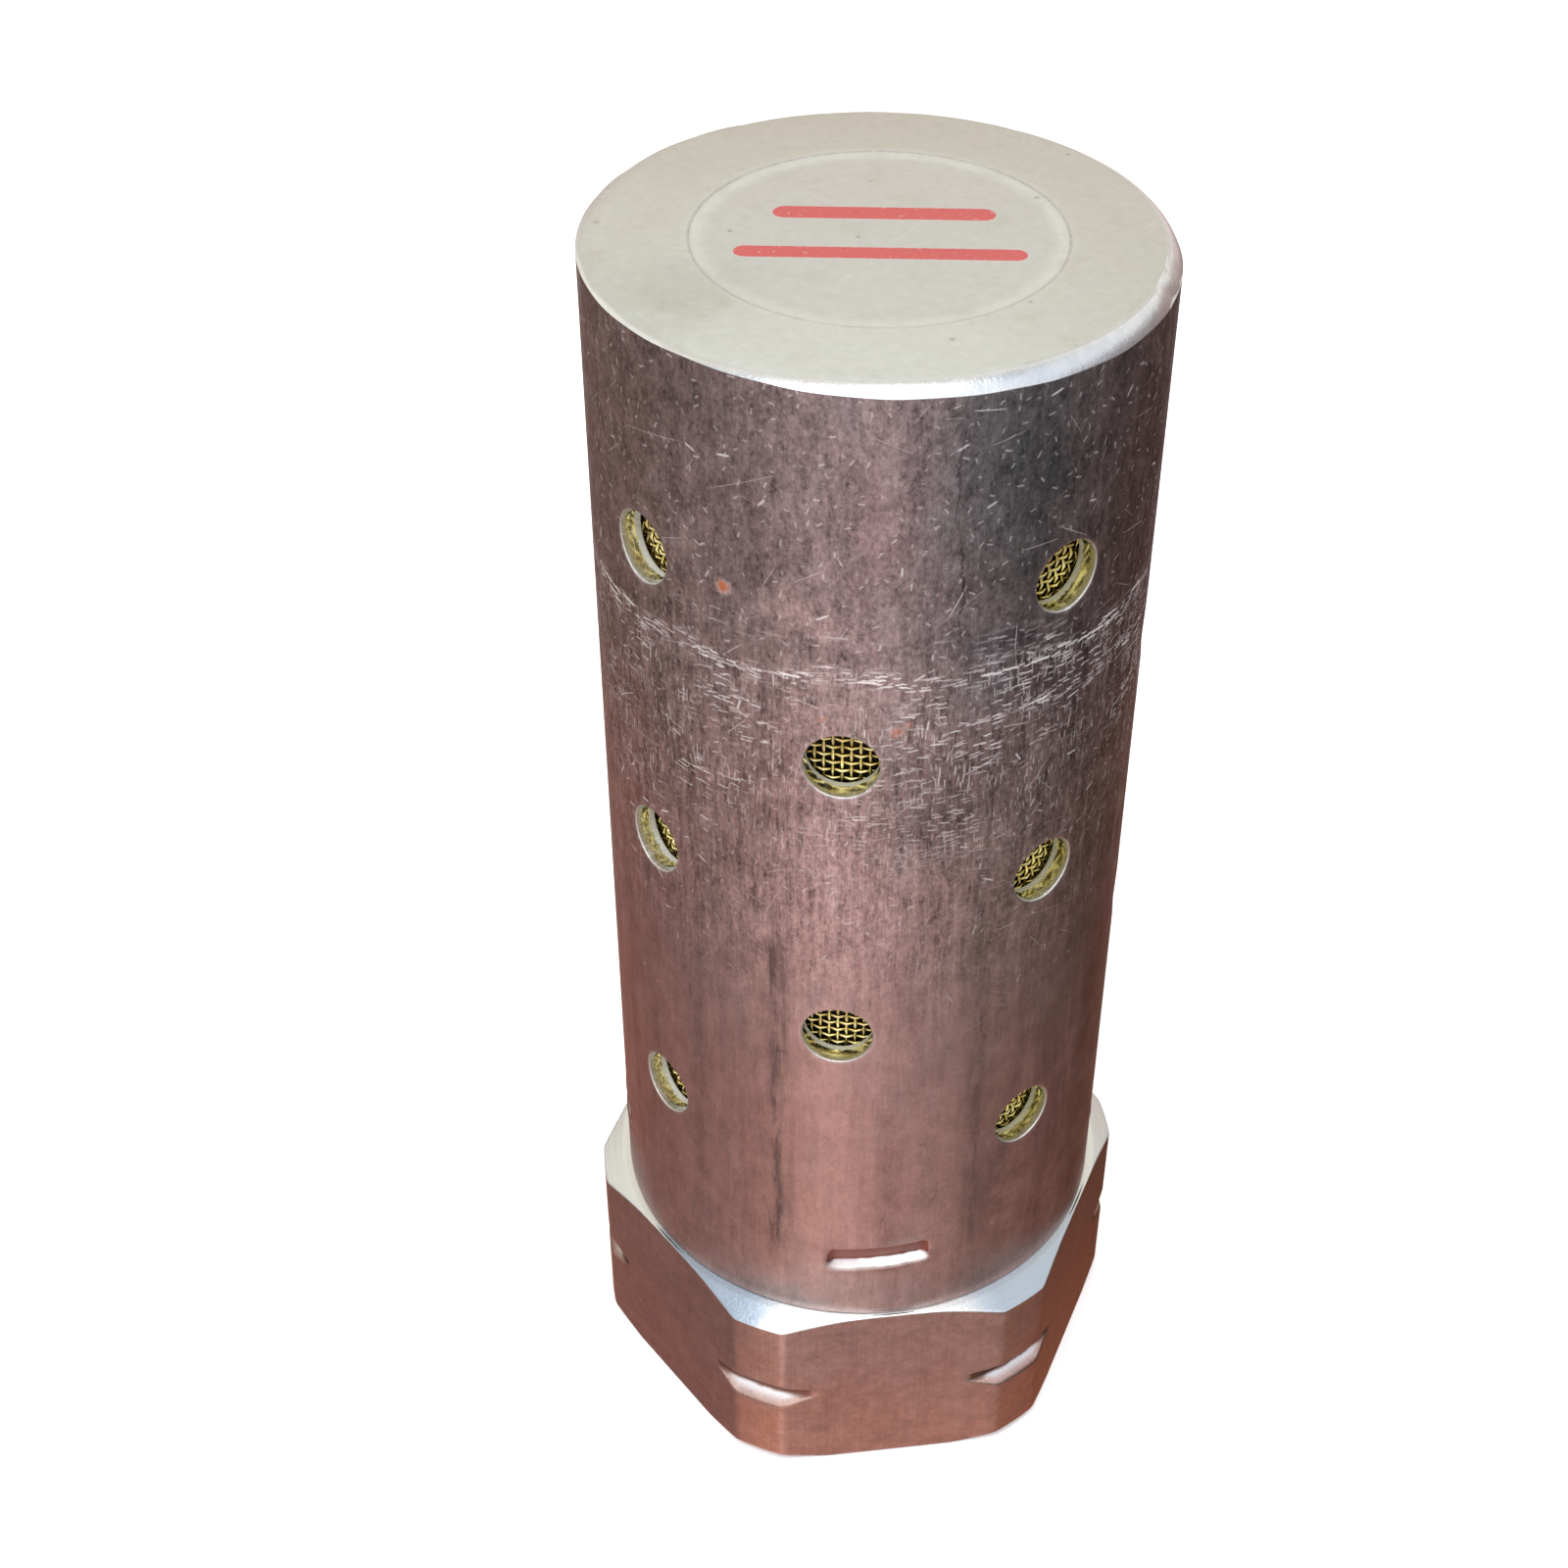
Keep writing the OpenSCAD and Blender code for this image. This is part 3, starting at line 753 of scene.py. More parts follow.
def dashes(u, v, kind):
    """Short straight strokes on the (u, v) sheet in mm, one in a share of the cells."""
    u_cells, v_cells, seed, length, width, lean, spread, threshold = STROKES[kind]
    graph = u.graph
    cell_u = u * u_cells + seed
    cell_v = v * v_cells + seed * 1.7
    cells = graph.node("ShaderNodeTexVoronoi",
                       {"Vector": graph.combine(cell_u, cell_v, 0.0), "Scale": 1.0},
                       voronoi_dimensions="2D", feature="F1")
    centre_u, centre_v, _ = Value(graph, cells.outputs["Position"]).xyz()
    turn_pick, size_pick, keep_pick = Value(graph, cells.outputs["Color"]).xyz()
    angle = turn_pick.swing(spread) + lean
    along, across = along_across((cell_u - centre_u) / u_cells, (cell_v - centre_v) / v_cells,
                                 graph.math("COSINE", angle), graph.math("SINE", angle))
    reach = (size_pick + 0.35) * length
    stroke = (along / reach).fade(1.0, 0.55) * across.fade(width, width * 0.3)
    strength = keep_pick.fade(threshold, threshold + 0.02) * (0.45 + size_pick * 0.6)
    return (stroke * strength).clamped()


def pits(graph, scale, radius, channel, threshold):
    """Small round dots in a share of the cells; threshold is a fade's start and end."""
    cells = graph.node("ShaderNodeTexVoronoi", {"Vector": graph.point, "Scale": scale},
                       feature="F1")
    pick = Value(graph, cells.outputs["Color"]).xyz()[channel]
    return Value(graph, cells.outputs["Distance"]).fade(radius, 0.04) * pick.fade(*threshold)


# ---------------------------------------------------------------- can material
WHITE = (1.0, 1.0, 1.0)
# lighter and darker patches on the wall; the pale bluish one low at -16 degrees is a painted
# reflection of the hexagon's top face
TONE_PATCHES = [          # azimuth, height, angular width, height width, tint
    (15.0, 92.0, 11.0, 8.0, (0.70, 0.82, 0.84)), (3.0, 66.0, 15.0, 4.5, (0.70, 0.70, 0.72)),
    (-47.0, 80.0, 7.0, 8.0, (1.28, 1.28, 1.28)), (-16.0, 19.0, 24.0, 3.2, (1.0, 1.20, 1.26)),
    (23.0, 29.0, 4.0, 6.0, (0.70, 0.72, 0.74)), (52.0, 84.0, 12.0, 10.0, (0.90, 0.80, 0.76)),
    (-30.0, 66.0, 4.0, 3.5, (0.66, 0.64, 0.63)), (15.0, 76.0, 4.0, 2.6, (1.12, 1.26, 1.34)),
    (-22.0, 80.4, 13.0, 1.1, (1.34, 1.30, 1.30)), (17.0, 79.0, 11.0, 1.3, (0.70, 0.74, 0.78)),
    (25.0, 87.0, 8.0, 8.0, (0.79, 0.81, 0.81)), (-8.0, 88.0, 5.5, 7.0, (1.03, 0.94, 0.97)),
    (29.0, 76.0, 12.0, 2.8, (0.77, 0.76, 0.76)), (9.0, 57.0, 5.0, 5.0, (1.06, 1.03, 1.03)),
    (-30.0, 54.0, 5.0, 5.0, (1.2, 1.2, 1.2)), (132.0, 70.0, 16.0, 9.0, (0.82, 0.82, 0.84))]
RUNS = [            # azimuth, angular width, strength
    (17.0, 1.9, 0.55), (73.0, 2.2, 0.5), (128.0, 2.8, 0.6), (-96.0, 2.0, 0.55),
    (-143.0, 2.6, 0.65)]
DARK_LINES = [      # azimuth, height, half length, half width, lean (radians), strength
    (7.5, 84.0, 5.0, 0.10, 1.60, 0.75), (6.0, 92.0, 4.5, 0.10, 1.50, 0.6),
    (-33.0, 59.0, 2.0, 0.11, 1.40, 0.5), (-37.0, 63.5, 2.6, 0.09, 1.75, 0.5),
    (150.0, 72.0, 4.0, 0.1, 1.45, 0.5)]
RUST = [            # azimuth, height, radius, strength
    (-37.9, 82.6, 0.55, 1.0), (-4.0, 73.4, 0.45, 0.75), (-1.6, 73.9, 0.25, 0.6),
    (-17.9, 74.2, 0.30, 0.7), (-14.0, 75.6, 0.5, 0.35), (-19.0, 44.5, 0.3, 0.3),
    (96.0, 66.0, 0.4, 0.6), (171.0, 79.0, 0.45, 0.7), (-118.0, 55.0, 0.35, 0.5)]
INK_TURN = -9.386   # direction of the printed bars, degrees
INK_BARS = [        # centre right, centre back, half length, half width
    (0.3, 3.0, 7.0, 0.82), (0.1, -2.35, 9.0, 0.74)]


def can_fields(graph):
    """Coordinates, noises and masks that the parts of the can's material share."""
    can = SimpleNamespace(point=graph.point)
    point = graph.point
    can.x, can.y, can.z = x, y, z = point.xyz()
    can.azimuth = azimuth_of(x, y) * PER_RADIAN
    can.radius = length_of(x, y)
    can.u = can.azimuth * (CAN_R * DEG)         # mm around the wall
    can.wear = graph.wear()

    # places: end face, rim, wall
    can.top = graph.facing_up().fade(0.90, 0.975) * z.fade(90.0, 91.0)
    can.rim = can.wear.fade(0.25, 0.75) * z.fade(94.5, 95.0)
    can.polished = can.rim * (1.0 - can.top)
    can.side = (1.0 - can.rim) * z.fade(97.64, 97.60)

    # streaks run up the can and get finer; grain, blots and specks have no direction
    can.fine_grain = graph.noise(point, scale=2.2, detail=4.0, rough=0.7)
    sway = (0.3, 0.3, 0.1)
    warp = graph.combine(graph.noise(point * sway, detail=2.0),
                         graph.noise((point + (31.0, 7.0, 5.0)) * sway, detail=2.0), 0.5)
    can.warped = point + warp.scaled(1.2)
    can.wide_streak = graph.noise(can.warped * (0.55, 0.55, 0.02), rough=0.55)
    can.streak = graph.noise(can.warped * (2.3, 2.3, 0.12), rough=0.6)
    can.fine_streak = graph.noise(can.warped * (7.5, 7.5, 0.9), detail=2.0, rough=0.6)
    can.grain = graph.noise(point, scale=3.4, detail=4.0, rough=0.72)
    can.blot = graph.noise(point, scale=0.42, detail=4.0, rough=0.62)
    can.small_blot = graph.noise(point * (1.0, 1.0, 0.6) + (3.0, 11.0, 6.0), scale=0.75, rough=0.6)
    can.broad = graph.noise(point * (0.09, 0.09, 0.05))
    can.mottle = graph.noise(point * (1.0, 1.0, 0.5), scale=1.35, detail=4.0, rough=0.68)
    can.speck = graph.noise(point * (1.0, 1.0, 0.60), scale=3.9, rough=0.70)

    # streaks are strongest in the middle of the can, mottling towards the top
    can.wavy_z = z + can.broad.swing(22.0)
    can.upper = can.wavy_z.fade(60.0, 82.0)
    can.middle = z.fade(44.0, 60.0) * z.fade(83.0, 76.0)
    can.rough_zone = (can.upper + can.middle * 0.8).clamped()
    return can


def skin_colour(graph, can):
    """Satin skin: base tones with a painted reflection pink, streaks, lighter and darker patches
    (one a painted reflection), light flecks and greyer patches.
    """
    # base tones, darker towards the top; their pink stands in for reddish surroundings mirrored in
    # the metal: painted reflection
    foot, waist, head = (0.63, 0.455, 0.415), (0.60, 0.485, 0.47), (0.44, 0.385, 0.385)
    colour = graph.mix(can.wavy_z.fade(34.0, 56.0), foot, waist)
    colour = graph.mix(can.upper, colour, head)
    lightness = (can.streak.swing(0.24 + can.middle * 1.05)
                 + can.wide_streak.swing(0.62)
                 + can.fine_streak.swing(0.10 + can.middle * 0.95)
                 + can.grain.swing(0.40 + can.rough_zone * 0.75)
                 + can.speck.swing(0.32 + can.rough_zone * 1.35)
                 + can.mottle.swing(0.50 + can.rough_zone * 1.10)
                 + can.blot.swing(0.60)
                 + can.small_blot.swing(0.25 + can.rough_zone * 0.45))
    colour = graph.shade(colour, (1.0 + lightness).max(0.18))
    # lighter and darker patches, one of them a painted reflection
    for azimuth, z, turn_width, z_width, tint in TONE_PATCHES:
        tone_patch = ((can.azimuth + can.blot.swing(22.0)).bell(azimuth, turn_width)
                 * (can.z + can.broad.swing(12.0)).bell(z, z_width))
        colour = graph.tint(colour, graph.mix(tone_patch, WHITE, tint))
    amount = (0.08 + can.rough_zone * 0.62) * can.mottle.fade(0.42, 0.60)
    colour = graph.mix(can.speck.fade(0.60, 0.74) * amount, colour, (0.78, 0.74, 0.73))
    grey = graph.noise(can.point * (0.5, 0.5, 0.13), detail=4.0, rough=0.65).fade(0.50, 0.68)
    return graph.mix(grey * 0.45, colour, graph.tint(colour, (0.80, 0.92, 0.95)))


def add_runs(graph, can, colour):
    """Dark run marks in the lower half, dark spots in them, and fine upright hair lines."""
    zone = can.z.fade(66.0, 50.0) * can.z.fade(20.5, 25.5)
    run = ((can.azimuth + can.wide_streak.swing(16.0)).bell(-27.5, 2.2) * 1.05).clamped()
    for azimuth, width, strength in RUNS:
        mark = (can.azimuth + can.wide_streak.swing(12.0)).bell(azimuth, width)
        run = run.max(mark * strength)
    breaks = graph.noise(can.point * (0.9, 0.9, 0.2), detail=4.0, rough=0.7)
    run = run * zone * breaks.fade(0.36, 0.62, low=0.20)
    colour = graph.mix(run, colour, (0.215, 0.175, 0.172))
    spots = graph.noise(can.point + (9.0, 2.0, 14.0), scale=1.05, detail=4.0, rough=0.7)
    spots = spots.fade(0.60, 0.70) * (0.10 + run * 1.6)
    colour = graph.mix((spots * 0.8).clamped(), colour, (0.10, 0.085, 0.085))

    # hairs are where a stretched noise crosses its middle
    rotated = graph.out("ShaderNodeVectorRotate", 0,
                        {"Vector": can.warped, "Rotation": (0.0, 0.0, 0.3)},
                        rotation_type="EULER_XYZ")
    sheet = graph.noise(rotated * (1.1, 1.1, 0.035) + (4.0, 2.8, 5.2), detail=0.0)
    line = (1.0 - abs(sheet - 0.5) / 0.006).clamped()
    gate = graph.noise(rotated.scaled(0.42) + (4.0, 3.1, 4.0), detail=2.0)
    hair = line * gate.fade(0.53, 0.59)
    return graph.mix(hair * 0.5, colour, (0.12, 0.10, 0.10))


def bright_marks(graph, can):
    """Belts of short rubs around the can, ticks below them, and scattered scratches."""
    u, z, azimuth, point = can.u, can.z, can.azimuth, can.point
    belt_z = z + graph.noise(point * (0.12, 0.12, 0.0), detail=2.0).swing(3.0)
    cluster = graph.noise(point, scale=0.30, rough=0.6).fade(0.42, 0.60)
    broad_cluster = graph.noise(point + (17.0, 5.0, 29.0), scale=0.20, rough=0.6)
    broad_cluster = broad_cluster.fade(0.44, 0.60)
    long_lines = dashes(u, z + can.fine_grain.swing(0.35), "belt long")
    short_lines = dashes(u, z + can.fine_grain.swing(0.4), "belt short") * 0.80

    # a strong belt, a faint one above it, and two on the +X side only
    belt = (belt_z.bell(77.1, 0.55) * 1.5).clamped().max(belt_z.bell(79.9, 0.35) * 0.25)
    patch = azimuth.fade(8.0, 16.0) * azimuth.fade(34.0, 26.0)
    belt = belt.max(belt_z.bell(78.6, 1.1) * patch * 0.9)
    belt = belt.max(belt_z.bell(73.6, 0.45) * azimuth.fade(10.0, 22.0) * 0.9)
    below = belt_z.fade(78.3, 77.0) * belt_z.fade(58.0, 70.0)

    short_strength = 1.0
    rubs = long_lines * (belt * (0.70 + cluster * 0.80))
    spread = belt * 0.7 + below * ((0.12 + broad_cluster) * 0.95)
    rubs = rubs.max(short_lines * (spread * short_strength))
    upright = dashes(u, z, "upright") * 0.80
    rubs = rubs.max(upright * (below * (0.10 + cluster * 0.75)))

    scratches = (dashes(u, z, "scratch long") * 0.36).max(dashes(u, z, "scratch mid") * 0.42)
    scratches = scratches.max(dashes(u, z, "scratch short") * 0.62)
    nicks = dashes(u, z, "nick") * 0.78
    tiny = dashes(u, z, "tiny") * (0.10 + (can.upper + can.middle).clamped() * 0.36)
    scattered = scratches.max(nicks.max(tiny)) * can.wavy_z.fade(40.0, 66.0, low=0.14)
    return (rubs.max(scattered) * can.side).clamped()


def stake_painted_light(can):
    """Masks of painted shade on the upper slope and painted highlight on the lower slope of the
    chisel mark facing the camera.
    """
    turn = (can.azimuth + -FIRST_STAKE).max(-13.0).min(13.0)
    above = can.z - STAKE_Z - turn * 0.0286
    stake = can.radius.fade(18.655, 18.60) * (can.z.fade(21.4, 21.7) * can.z.fade(25.6, 25.2))
    upper = stake * above.fade(-0.03, 0.05)
    glint = (turn + can.fine_grain.swing(8.0)).fade(-12.0, 4.0, low=0.25)
    return upper, stake * (above.fade(0.06, -0.04) * glint)


def add_dark_lines(graph, can, colour):
    """A few long dark scratches."""
    for azimuth, z, length, width, lean, strength in DARK_LINES:
        along, across = along_across(
            can.u - azimuth * CAN_R * DEG + can.small_blot.swing(1.8), can.z - z,
            math.cos(lean), math.sin(lean))
        body = across.fade(width, width * 0.3) * can.grain.fade(0.36, 0.50)
        line = along.fade(length, length * 0.4) * body
        colour = graph.mix(line * strength, colour, (0.05, 0.04, 0.04))
    return colour


def rust_mask(graph, can):
    rust = None
    for azimuth, z, radius, strength in RUST:
        centre = (CAN_R * math.sin(azimuth * DEG), -CAN_R * math.cos(azimuth * DEG), z)
        away = graph.vector("DISTANCE", can.point, centre) + can.grain.swing(1.1)
        spot = away.fade(radius * 1.35, radius * 0.35) * strength
        rust = spot if rust is None else rust.max(spot)
    return rust


def end_colour(graph, can):
    """Closed end: pale and finely turned, duller outside the die mark, with painted reflection
    tones and a painted highlight ring.
    """
    x, y, point = can.x, can.y, can.point
    rings = graph.noise(graph.combine(can.radius * 5.0, 0.3, 0.7), rough=0.6)
    cloud = graph.noise(point, scale=1.3, detail=4.0, rough=0.65)
    tone = 1.0 + (rings.swing(0.05) + cloud.swing(0.20))
    cosine, sine = math.cos(VIEW_TURN * DEG), math.sin(VIEW_TURN * DEG)
    front = x * sine - y * cosine + can.blot.swing(9.0)     # towards the camera
    right = x * cosine + y * sine
    # painted reflection: outer ring and disc painted lighter and bluer towards the camera, darker
    # and yellower to the back and right
    outer = graph.mix(front.fade(-17.0, 15.0, kind="LINEAR"),
                      (0.650, 0.620, 0.575), (0.770, 0.795, 0.770))
    outer = graph.mix(right.fade(2.0, 18.0) * 0.6, outer, (0.655, 0.65, 0.605))
    disc = graph.mix(front.fade(-10.0, 10.0), (0.700, 0.690, 0.670), (0.715, 0.730, 0.715))
    colour = graph.mix(can.radius.fade(12.0, 11.7), outer, disc)
    # painted highlight in a ring along the die mark's edge
    colour = graph.mix(can.radius.bell(11.35, 0.55) * 0.75, colour, (0.80, 0.82, 0.80))
    tone_patch = graph.noise(point + (3.0, 9.0, 0.0), scale=0.33, detail=4.0, rough=0.65)
    colour = graph.mix(tone_patch.fade(0.52, 0.70) * 0.30, colour, (0.60, 0.59, 0.52))
    smudge = right.bell(-12.5, 4.5) * front.bell(8.5, 4.5)
    colour = graph.mix(smudge * 0.9, colour, graph.tint(colour, (0.86, 0.86, 0.84)))
    dots = pits(graph, scale=0.52, radius=0.14, channel=1, threshold=(0.86, 0.92))
    colour = graph.shade(colour, tone.max(0.5) - dots * 0.28)
    scratches = dashes(x, y, "end long").max(dashes(x, y, "end short"))
    return graph.mix(scratches * 0.35, colour, (0.95, 0.95, 0.93))


def ink_mask(graph, can):
    """Two worn, round-ended bars printed on the closed end."""
    cosine, sine = math.cos(INK_TURN * DEG), math.sin(INK_TURN * DEG)
    ink = None
    for centre_u, centre_v, half_length, half_width in INK_BARS:
        u = can.x * cosine + can.y * sine - centre_u
        v = can.x * -sine + can.y * cosine - centre_v
        beyond = (abs(u) - (half_length - half_width)).max(0.0)
        ragged = graph.noise(can.point, scale=5.0, rough=0.7).swing(0.12)
        bar = (length_of(beyond, v) + ragged).fade(half_width + 0.05, half_width - 0.05)
        ink = bar if ink is None else ink.max(bar)
    worn = graph.noise(can.point, scale=2.6, detail=5.0, rough=0.75)
    return ink * worn.fade(0.60, 0.70, low=1.0, high=0.25) * (can.top * 0.93)


def can_material():
    material, graph = new_material("satin_can")
    can = can_fields(graph)
    grain, radius, top, polished = can.grain, can.radius, can.top, can.polished
    colour = add_runs(graph, can, skin_colour(graph, can))
    marks = bright_marks(graph, can)
    colour = graph.mix(marks, colour, (0.97, 0.96, 0.96))
    stake_painted_shade, stake_painted_highlight = stake_painted_light(can)
    # painted shade on the chisel mark's upper slope, painted highlight on its lower slope
    colour = graph.mix(stake_painted_shade * 0.95, colour, (0.36, 0.14, 0.105))
    colour = graph.mix(stake_painted_highlight, colour, WHITE)
    colour = add_dark_lines(graph, can, colour)
    rust = rust_mask(graph, can)
    colour = graph.mix(rust, colour, (0.30, 0.075, 0.020))
    ink = ink_mask(graph, can)
    colour = graph.mix(top, colour, end_colour(graph, can))
    rim_tone = graph.mix(can.mottle.fade(0.42, 0.62), (0.98, 0.99, 1.0), (0.90, 0.92, 0.94))
    colour = graph.mix(polished * 0.95, colour, rim_tone)
    hole_edges = can.wear * can.side
    colour = graph.mix(hole_edges * 0.30, colour, (0.84, 0.83, 0.80))

    # inside and in the hole walls the metal is plain and bright, dull where torn;
    # the chisel marks' heights are left out
    off_stakes = can.side * abs(can.z - 23.6).fade(2.1, 2.4)
    inside = radius.fade(18.62, 18.45) * off_stakes
    torn = (radius + grain.swing(0.6)).fade(17.62, 17.50) * inside
    lip = off_stakes * (radius + grain.swing(0.8)).fade(18.12, 18.34) * radius.fade(18.69, 18.64)
    # to the right the hole walls and torn bands are tinted yellow: painted reflection of the brass
    # cloth
    cloth_reflection = can.azimuth.fade(-45.0, 5.0)
    colour = graph.mix(inside, colour, graph.mix(cloth_reflection, (0.90, 0.90, 0.85), (0.70, 0.69, 0.52)))
    colour = graph.mix(torn, colour, graph.mix(cloth_reflection, (0.76, 0.76, 0.72), (0.60, 0.59, 0.44)))
    colour = graph.mix(lip * 0.60, colour, (0.88, 0.87, 0.80))
    colour = graph.mix(ink, colour, (0.37, 0.045, 0.040))
    # painted reflection: the skirt is painted paler in glossy rays, where it is mirrored in other
    # parts
    mirrored = graph.glossy_ray() * can.z.fade(25.0, 21.0) * radius.fade(18.0, 18.3)
    colour = graph.mix(mirrored * 0.8, colour, (1.0, 0.98, 0.97))

    wall_marks = marks * (1.0 - top) * 0.30
    dull = (ink.max(rust) * 0.97).max((torn * 0.55).max(wall_marks))
    rough = 0.33 + can.blot.swing(0.22) + can.streak.swing(0.18) + can.upper * 0.05
    rough = rough + top * 0.14 - polished * 0.17
    rough = (rough + rust.max(ink) * 0.25).clamped()
    rough = rough * (1.0 - inside) + inside * 0.13
    rough = (rough + torn.max(lip * 0.55) * 0.42).clamped()
    rough = (rough - stake_painted_highlight * 0.10).clamped()

    height = grain * 0.5 + can.fine_streak * 0.6 + can.streak * 0.8 - marks * 0.8
    height = height * (1.0 - top * 0.75) + ink * 0.5
    height = height * (1.0 - inside * 0.8)
    graph.surface(colour, metallic=1.0 - dull, rough=rough, height=height, depth=0.000022)
    graph.feed(graph.bsdf.inputs["Specular IOR Level"], 0.5 - ink * 0.42)
    return material


# ---------------------------------------------------------------- other materials
def hex_material():
    material, graph = new_material("turned_hexagon")
    point = graph.point
    x, y, z = point.xyz()
    radius = length_of(x, y)
    azimuth = azimuth_of(x, y) * PER_RADIAN
    wear = graph.wear()
    top = graph.facing_up().fade(0.3, 0.8) * z.fade(15.0, 15.6)
    grain = graph.noise(point, scale=2.6, detail=4.0, rough=0.65)
    blot = graph.noise(point, scale=0.30, detail=4.0, rough=0.6)
    drawn = graph.noise(point * (5.5, 5.5, 0.10), rough=0.6)
    turned = graph.noise(graph.combine(radius * 6.0, 0.2, z * 6.0), detail=2.0, rough=0.6)

    # flats: copper tone, warmer towards the foot, which is painted reflection of reddish
    # surroundings; drawn lines, smears and pale nicks
    lightness = (drawn.swing(0.30) + blot.swing(0.50) + grain.swing(0.55)
                 + graph.noise(point, scale=0.9, detail=4.0, rough=0.65).swing(0.60))
    colour = graph.mix((z + blot.swing(14.0)).fade(14.0, 2.0),
                       (0.585, 0.435, 0.385), (0.72, 0.455, 0.37))
    colour = graph.shade(colour, 1.0 + lightness)
    smear = graph.noise(point * (0.25, 0.25, 0.6), detail=4.0, rough=0.6).fade(0.50, 0.70)
    colour = graph.mix(smear * 0.35, colour, (0.42, 0.33, 0.31))
    nicks = pits(graph, scale=0.9, radius=0.10, channel=0, threshold=(0.78, 0.86))
    colour = graph.mix(nicks * 0.7, colour, (0.88, 0.84, 0.80))

    # groove: negative wear tells how deep it is; painted shade on the upper part, painted
    # highlight on the lower slope
    sunk = (wear * -1.0).clamped()
    groove_z = z + graph.noise(point, scale=0.8, detail=2.0).swing(0.35)
    # painted shade in the groove's root
    root = sunk.fade(0.04, 0.20) * groove_z.fade(7.52, 7.76)
    groove_highlight = sunk.fade(0.22, 0.78) * groove_z.fade(7.86, 7.62)
    colour = graph.mix(root * 0.9, colour, (0.27, 0.15, 0.115))
    colour = graph.mix(groove_highlight * 0.95, colour, (0.93, 0.885, 0.875))
    broken = graph.noise(point, scale=0.9, detail=4.0, rough=0.65).fade(0.40, 0.60, low=0.35)
    colour = graph.mix(wear.max(0.0) * broken * 0.60, colour, (0.90, 0.84, 0.80))

    # top face, with two bluer sectors that are painted reflection, and painted darker in glossy
    # rays where it is mirrored
    face = graph.mix((turned - 0.4) * 0.5, (0.86, 0.86, 0.84), (0.70, 0.70, 0.68))
    colour = graph.mix(top, colour, face)
    ragged = azimuth + blot.swing(16.0)
    left = ragged.fade(-25.0, -32.0) * ragged.fade(-66.0, -57.0)
    right = ragged.fade(15.0, 23.0) * ragged.fade(62.0, 52.0)
    # painted reflection: bluish sectors on the top face, left and right
    colour = graph.mix(top * left, colour, (0.46, 0.535, 0.62))
    colour = graph.mix(top * (right * 0.9), colour, (0.60, 0.67, 0.74))
    # painted shade: the top face is painted darker in glossy rays, so its reflection in the can is
    # darker
    colour = graph.mix(top * graph.glossy_ray() * 0.85, colour, (0.46, 0.43, 0.43))
    colour = graph.mix(radius.fade(16.0, 14.5), colour, (0.74, 0.72, 0.69))

    rough = (0.24 + blot.swing(0.25) + top * 0.09).clamped()
    height = drawn * 0.6 + grain * 0.6 + turned * (0.15 + top * 0.6) - nicks * 0.8
    graph.surface(colour, metallic=1.0, rough=rough, height=height, depth=0.000022)
    return material


def brass_material(name, bright, dark, weave_period=None, woven=False):
    """weave_period (mm) draws a weave on plain sheet with painted shade in its openings; woven
    paints shade on the deep parts of wires and a highlight on their crests.
    """
    material, graph = new_material(name)
    x, y, z = graph.point.xyz()
    fine = graph.noise(graph.point, scale=6.0, rough=0.6)
    cloud = graph.noise(graph.point, scale=0.8, detail=4.0, rough=0.6)
    colour = graph.mix(cloud.fade(0.44, 0.64), bright, dark)
    colour = graph.mix(fine.fade(0.55, 0.75) * 0.4, colour, (0.30, 0.20, 0.07))
    if woven:
        radius, outer = length_of(x, y), NET_HI[0]
        # painted shade on the deep parts of the wires, painted highlight on their crests
        colour = graph.mix(radius.fade(outer - 0.10, outer - 0.32), colour, (0.24, 0.15, 0.04))
        crest_highlight = radius.fade(outer - 0.12, outer - 0.02)
        colour = graph.mix(crest_highlight * 0.65, colour, (1.0, 0.92, 0.62))
    height = fine * 0.5
    if weave_period:
        rate = 2 * math.pi / weave_period
        around = azimuth_of(x, y) * 11.5 * rate         # 11.5: radius the pattern is laid at
        weave = abs(graph.math("SINE", around)).max(abs(graph.math("SINE", z * rate)))
        # painted shade in the openings of the drawn weave
        colour = graph.mix(weave.fade(0.75, 0.35), colour, (0.10, 0.07, 0.02))
        height = height + weave * 3.0
    graph.surface(colour, metallic=1.0, rough=0.13 + fine * 0.16, height=height,
                  depth=0.00003, strength=0.8)
    return material


def felt_material():
    material, graph = new_material("packing_felt")
    fibres = graph.noise(graph.point, scale=7.0, detail=5.0, rough=0.75, distortion=1.2)
    lumps = graph.noise(graph.point, scale=0.8, rough=0.6)
    colour = graph.mix(fibres.fade(0.35, 0.70), (0.020, 0.014, 0.010), (0.085, 0.062, 0.042))
    colour = graph.mix(lumps * 0.4, colour, (0.040, 0.030, 0.026))
    graph.surface(colour, metallic=0.0, rough=0.95, height=fibres, depth=0.00012, strength=0.9)
    graph.feed(graph.bsdf.inputs["Sheen Weight"], 0.1)
    return material


def steel_material(name, tint, rough, line_scale):
    material, graph = new_material(name)
    cloud = graph.noise(graph.point, scale=0.5, detail=4.0, rough=0.6)
    lines = graph.noise(graph.point * (line_scale, line_scale, line_scale * 0.15), rough=0.6)
    colour = graph.shade(tint, 0.86 + (cloud * 0.2 + lines * 0.1))
    graph.surface(colour, metallic=1.0, rough=rough + lines * 0.15, height=lines,
                  depth=0.00002, strength=0.7)
    return material


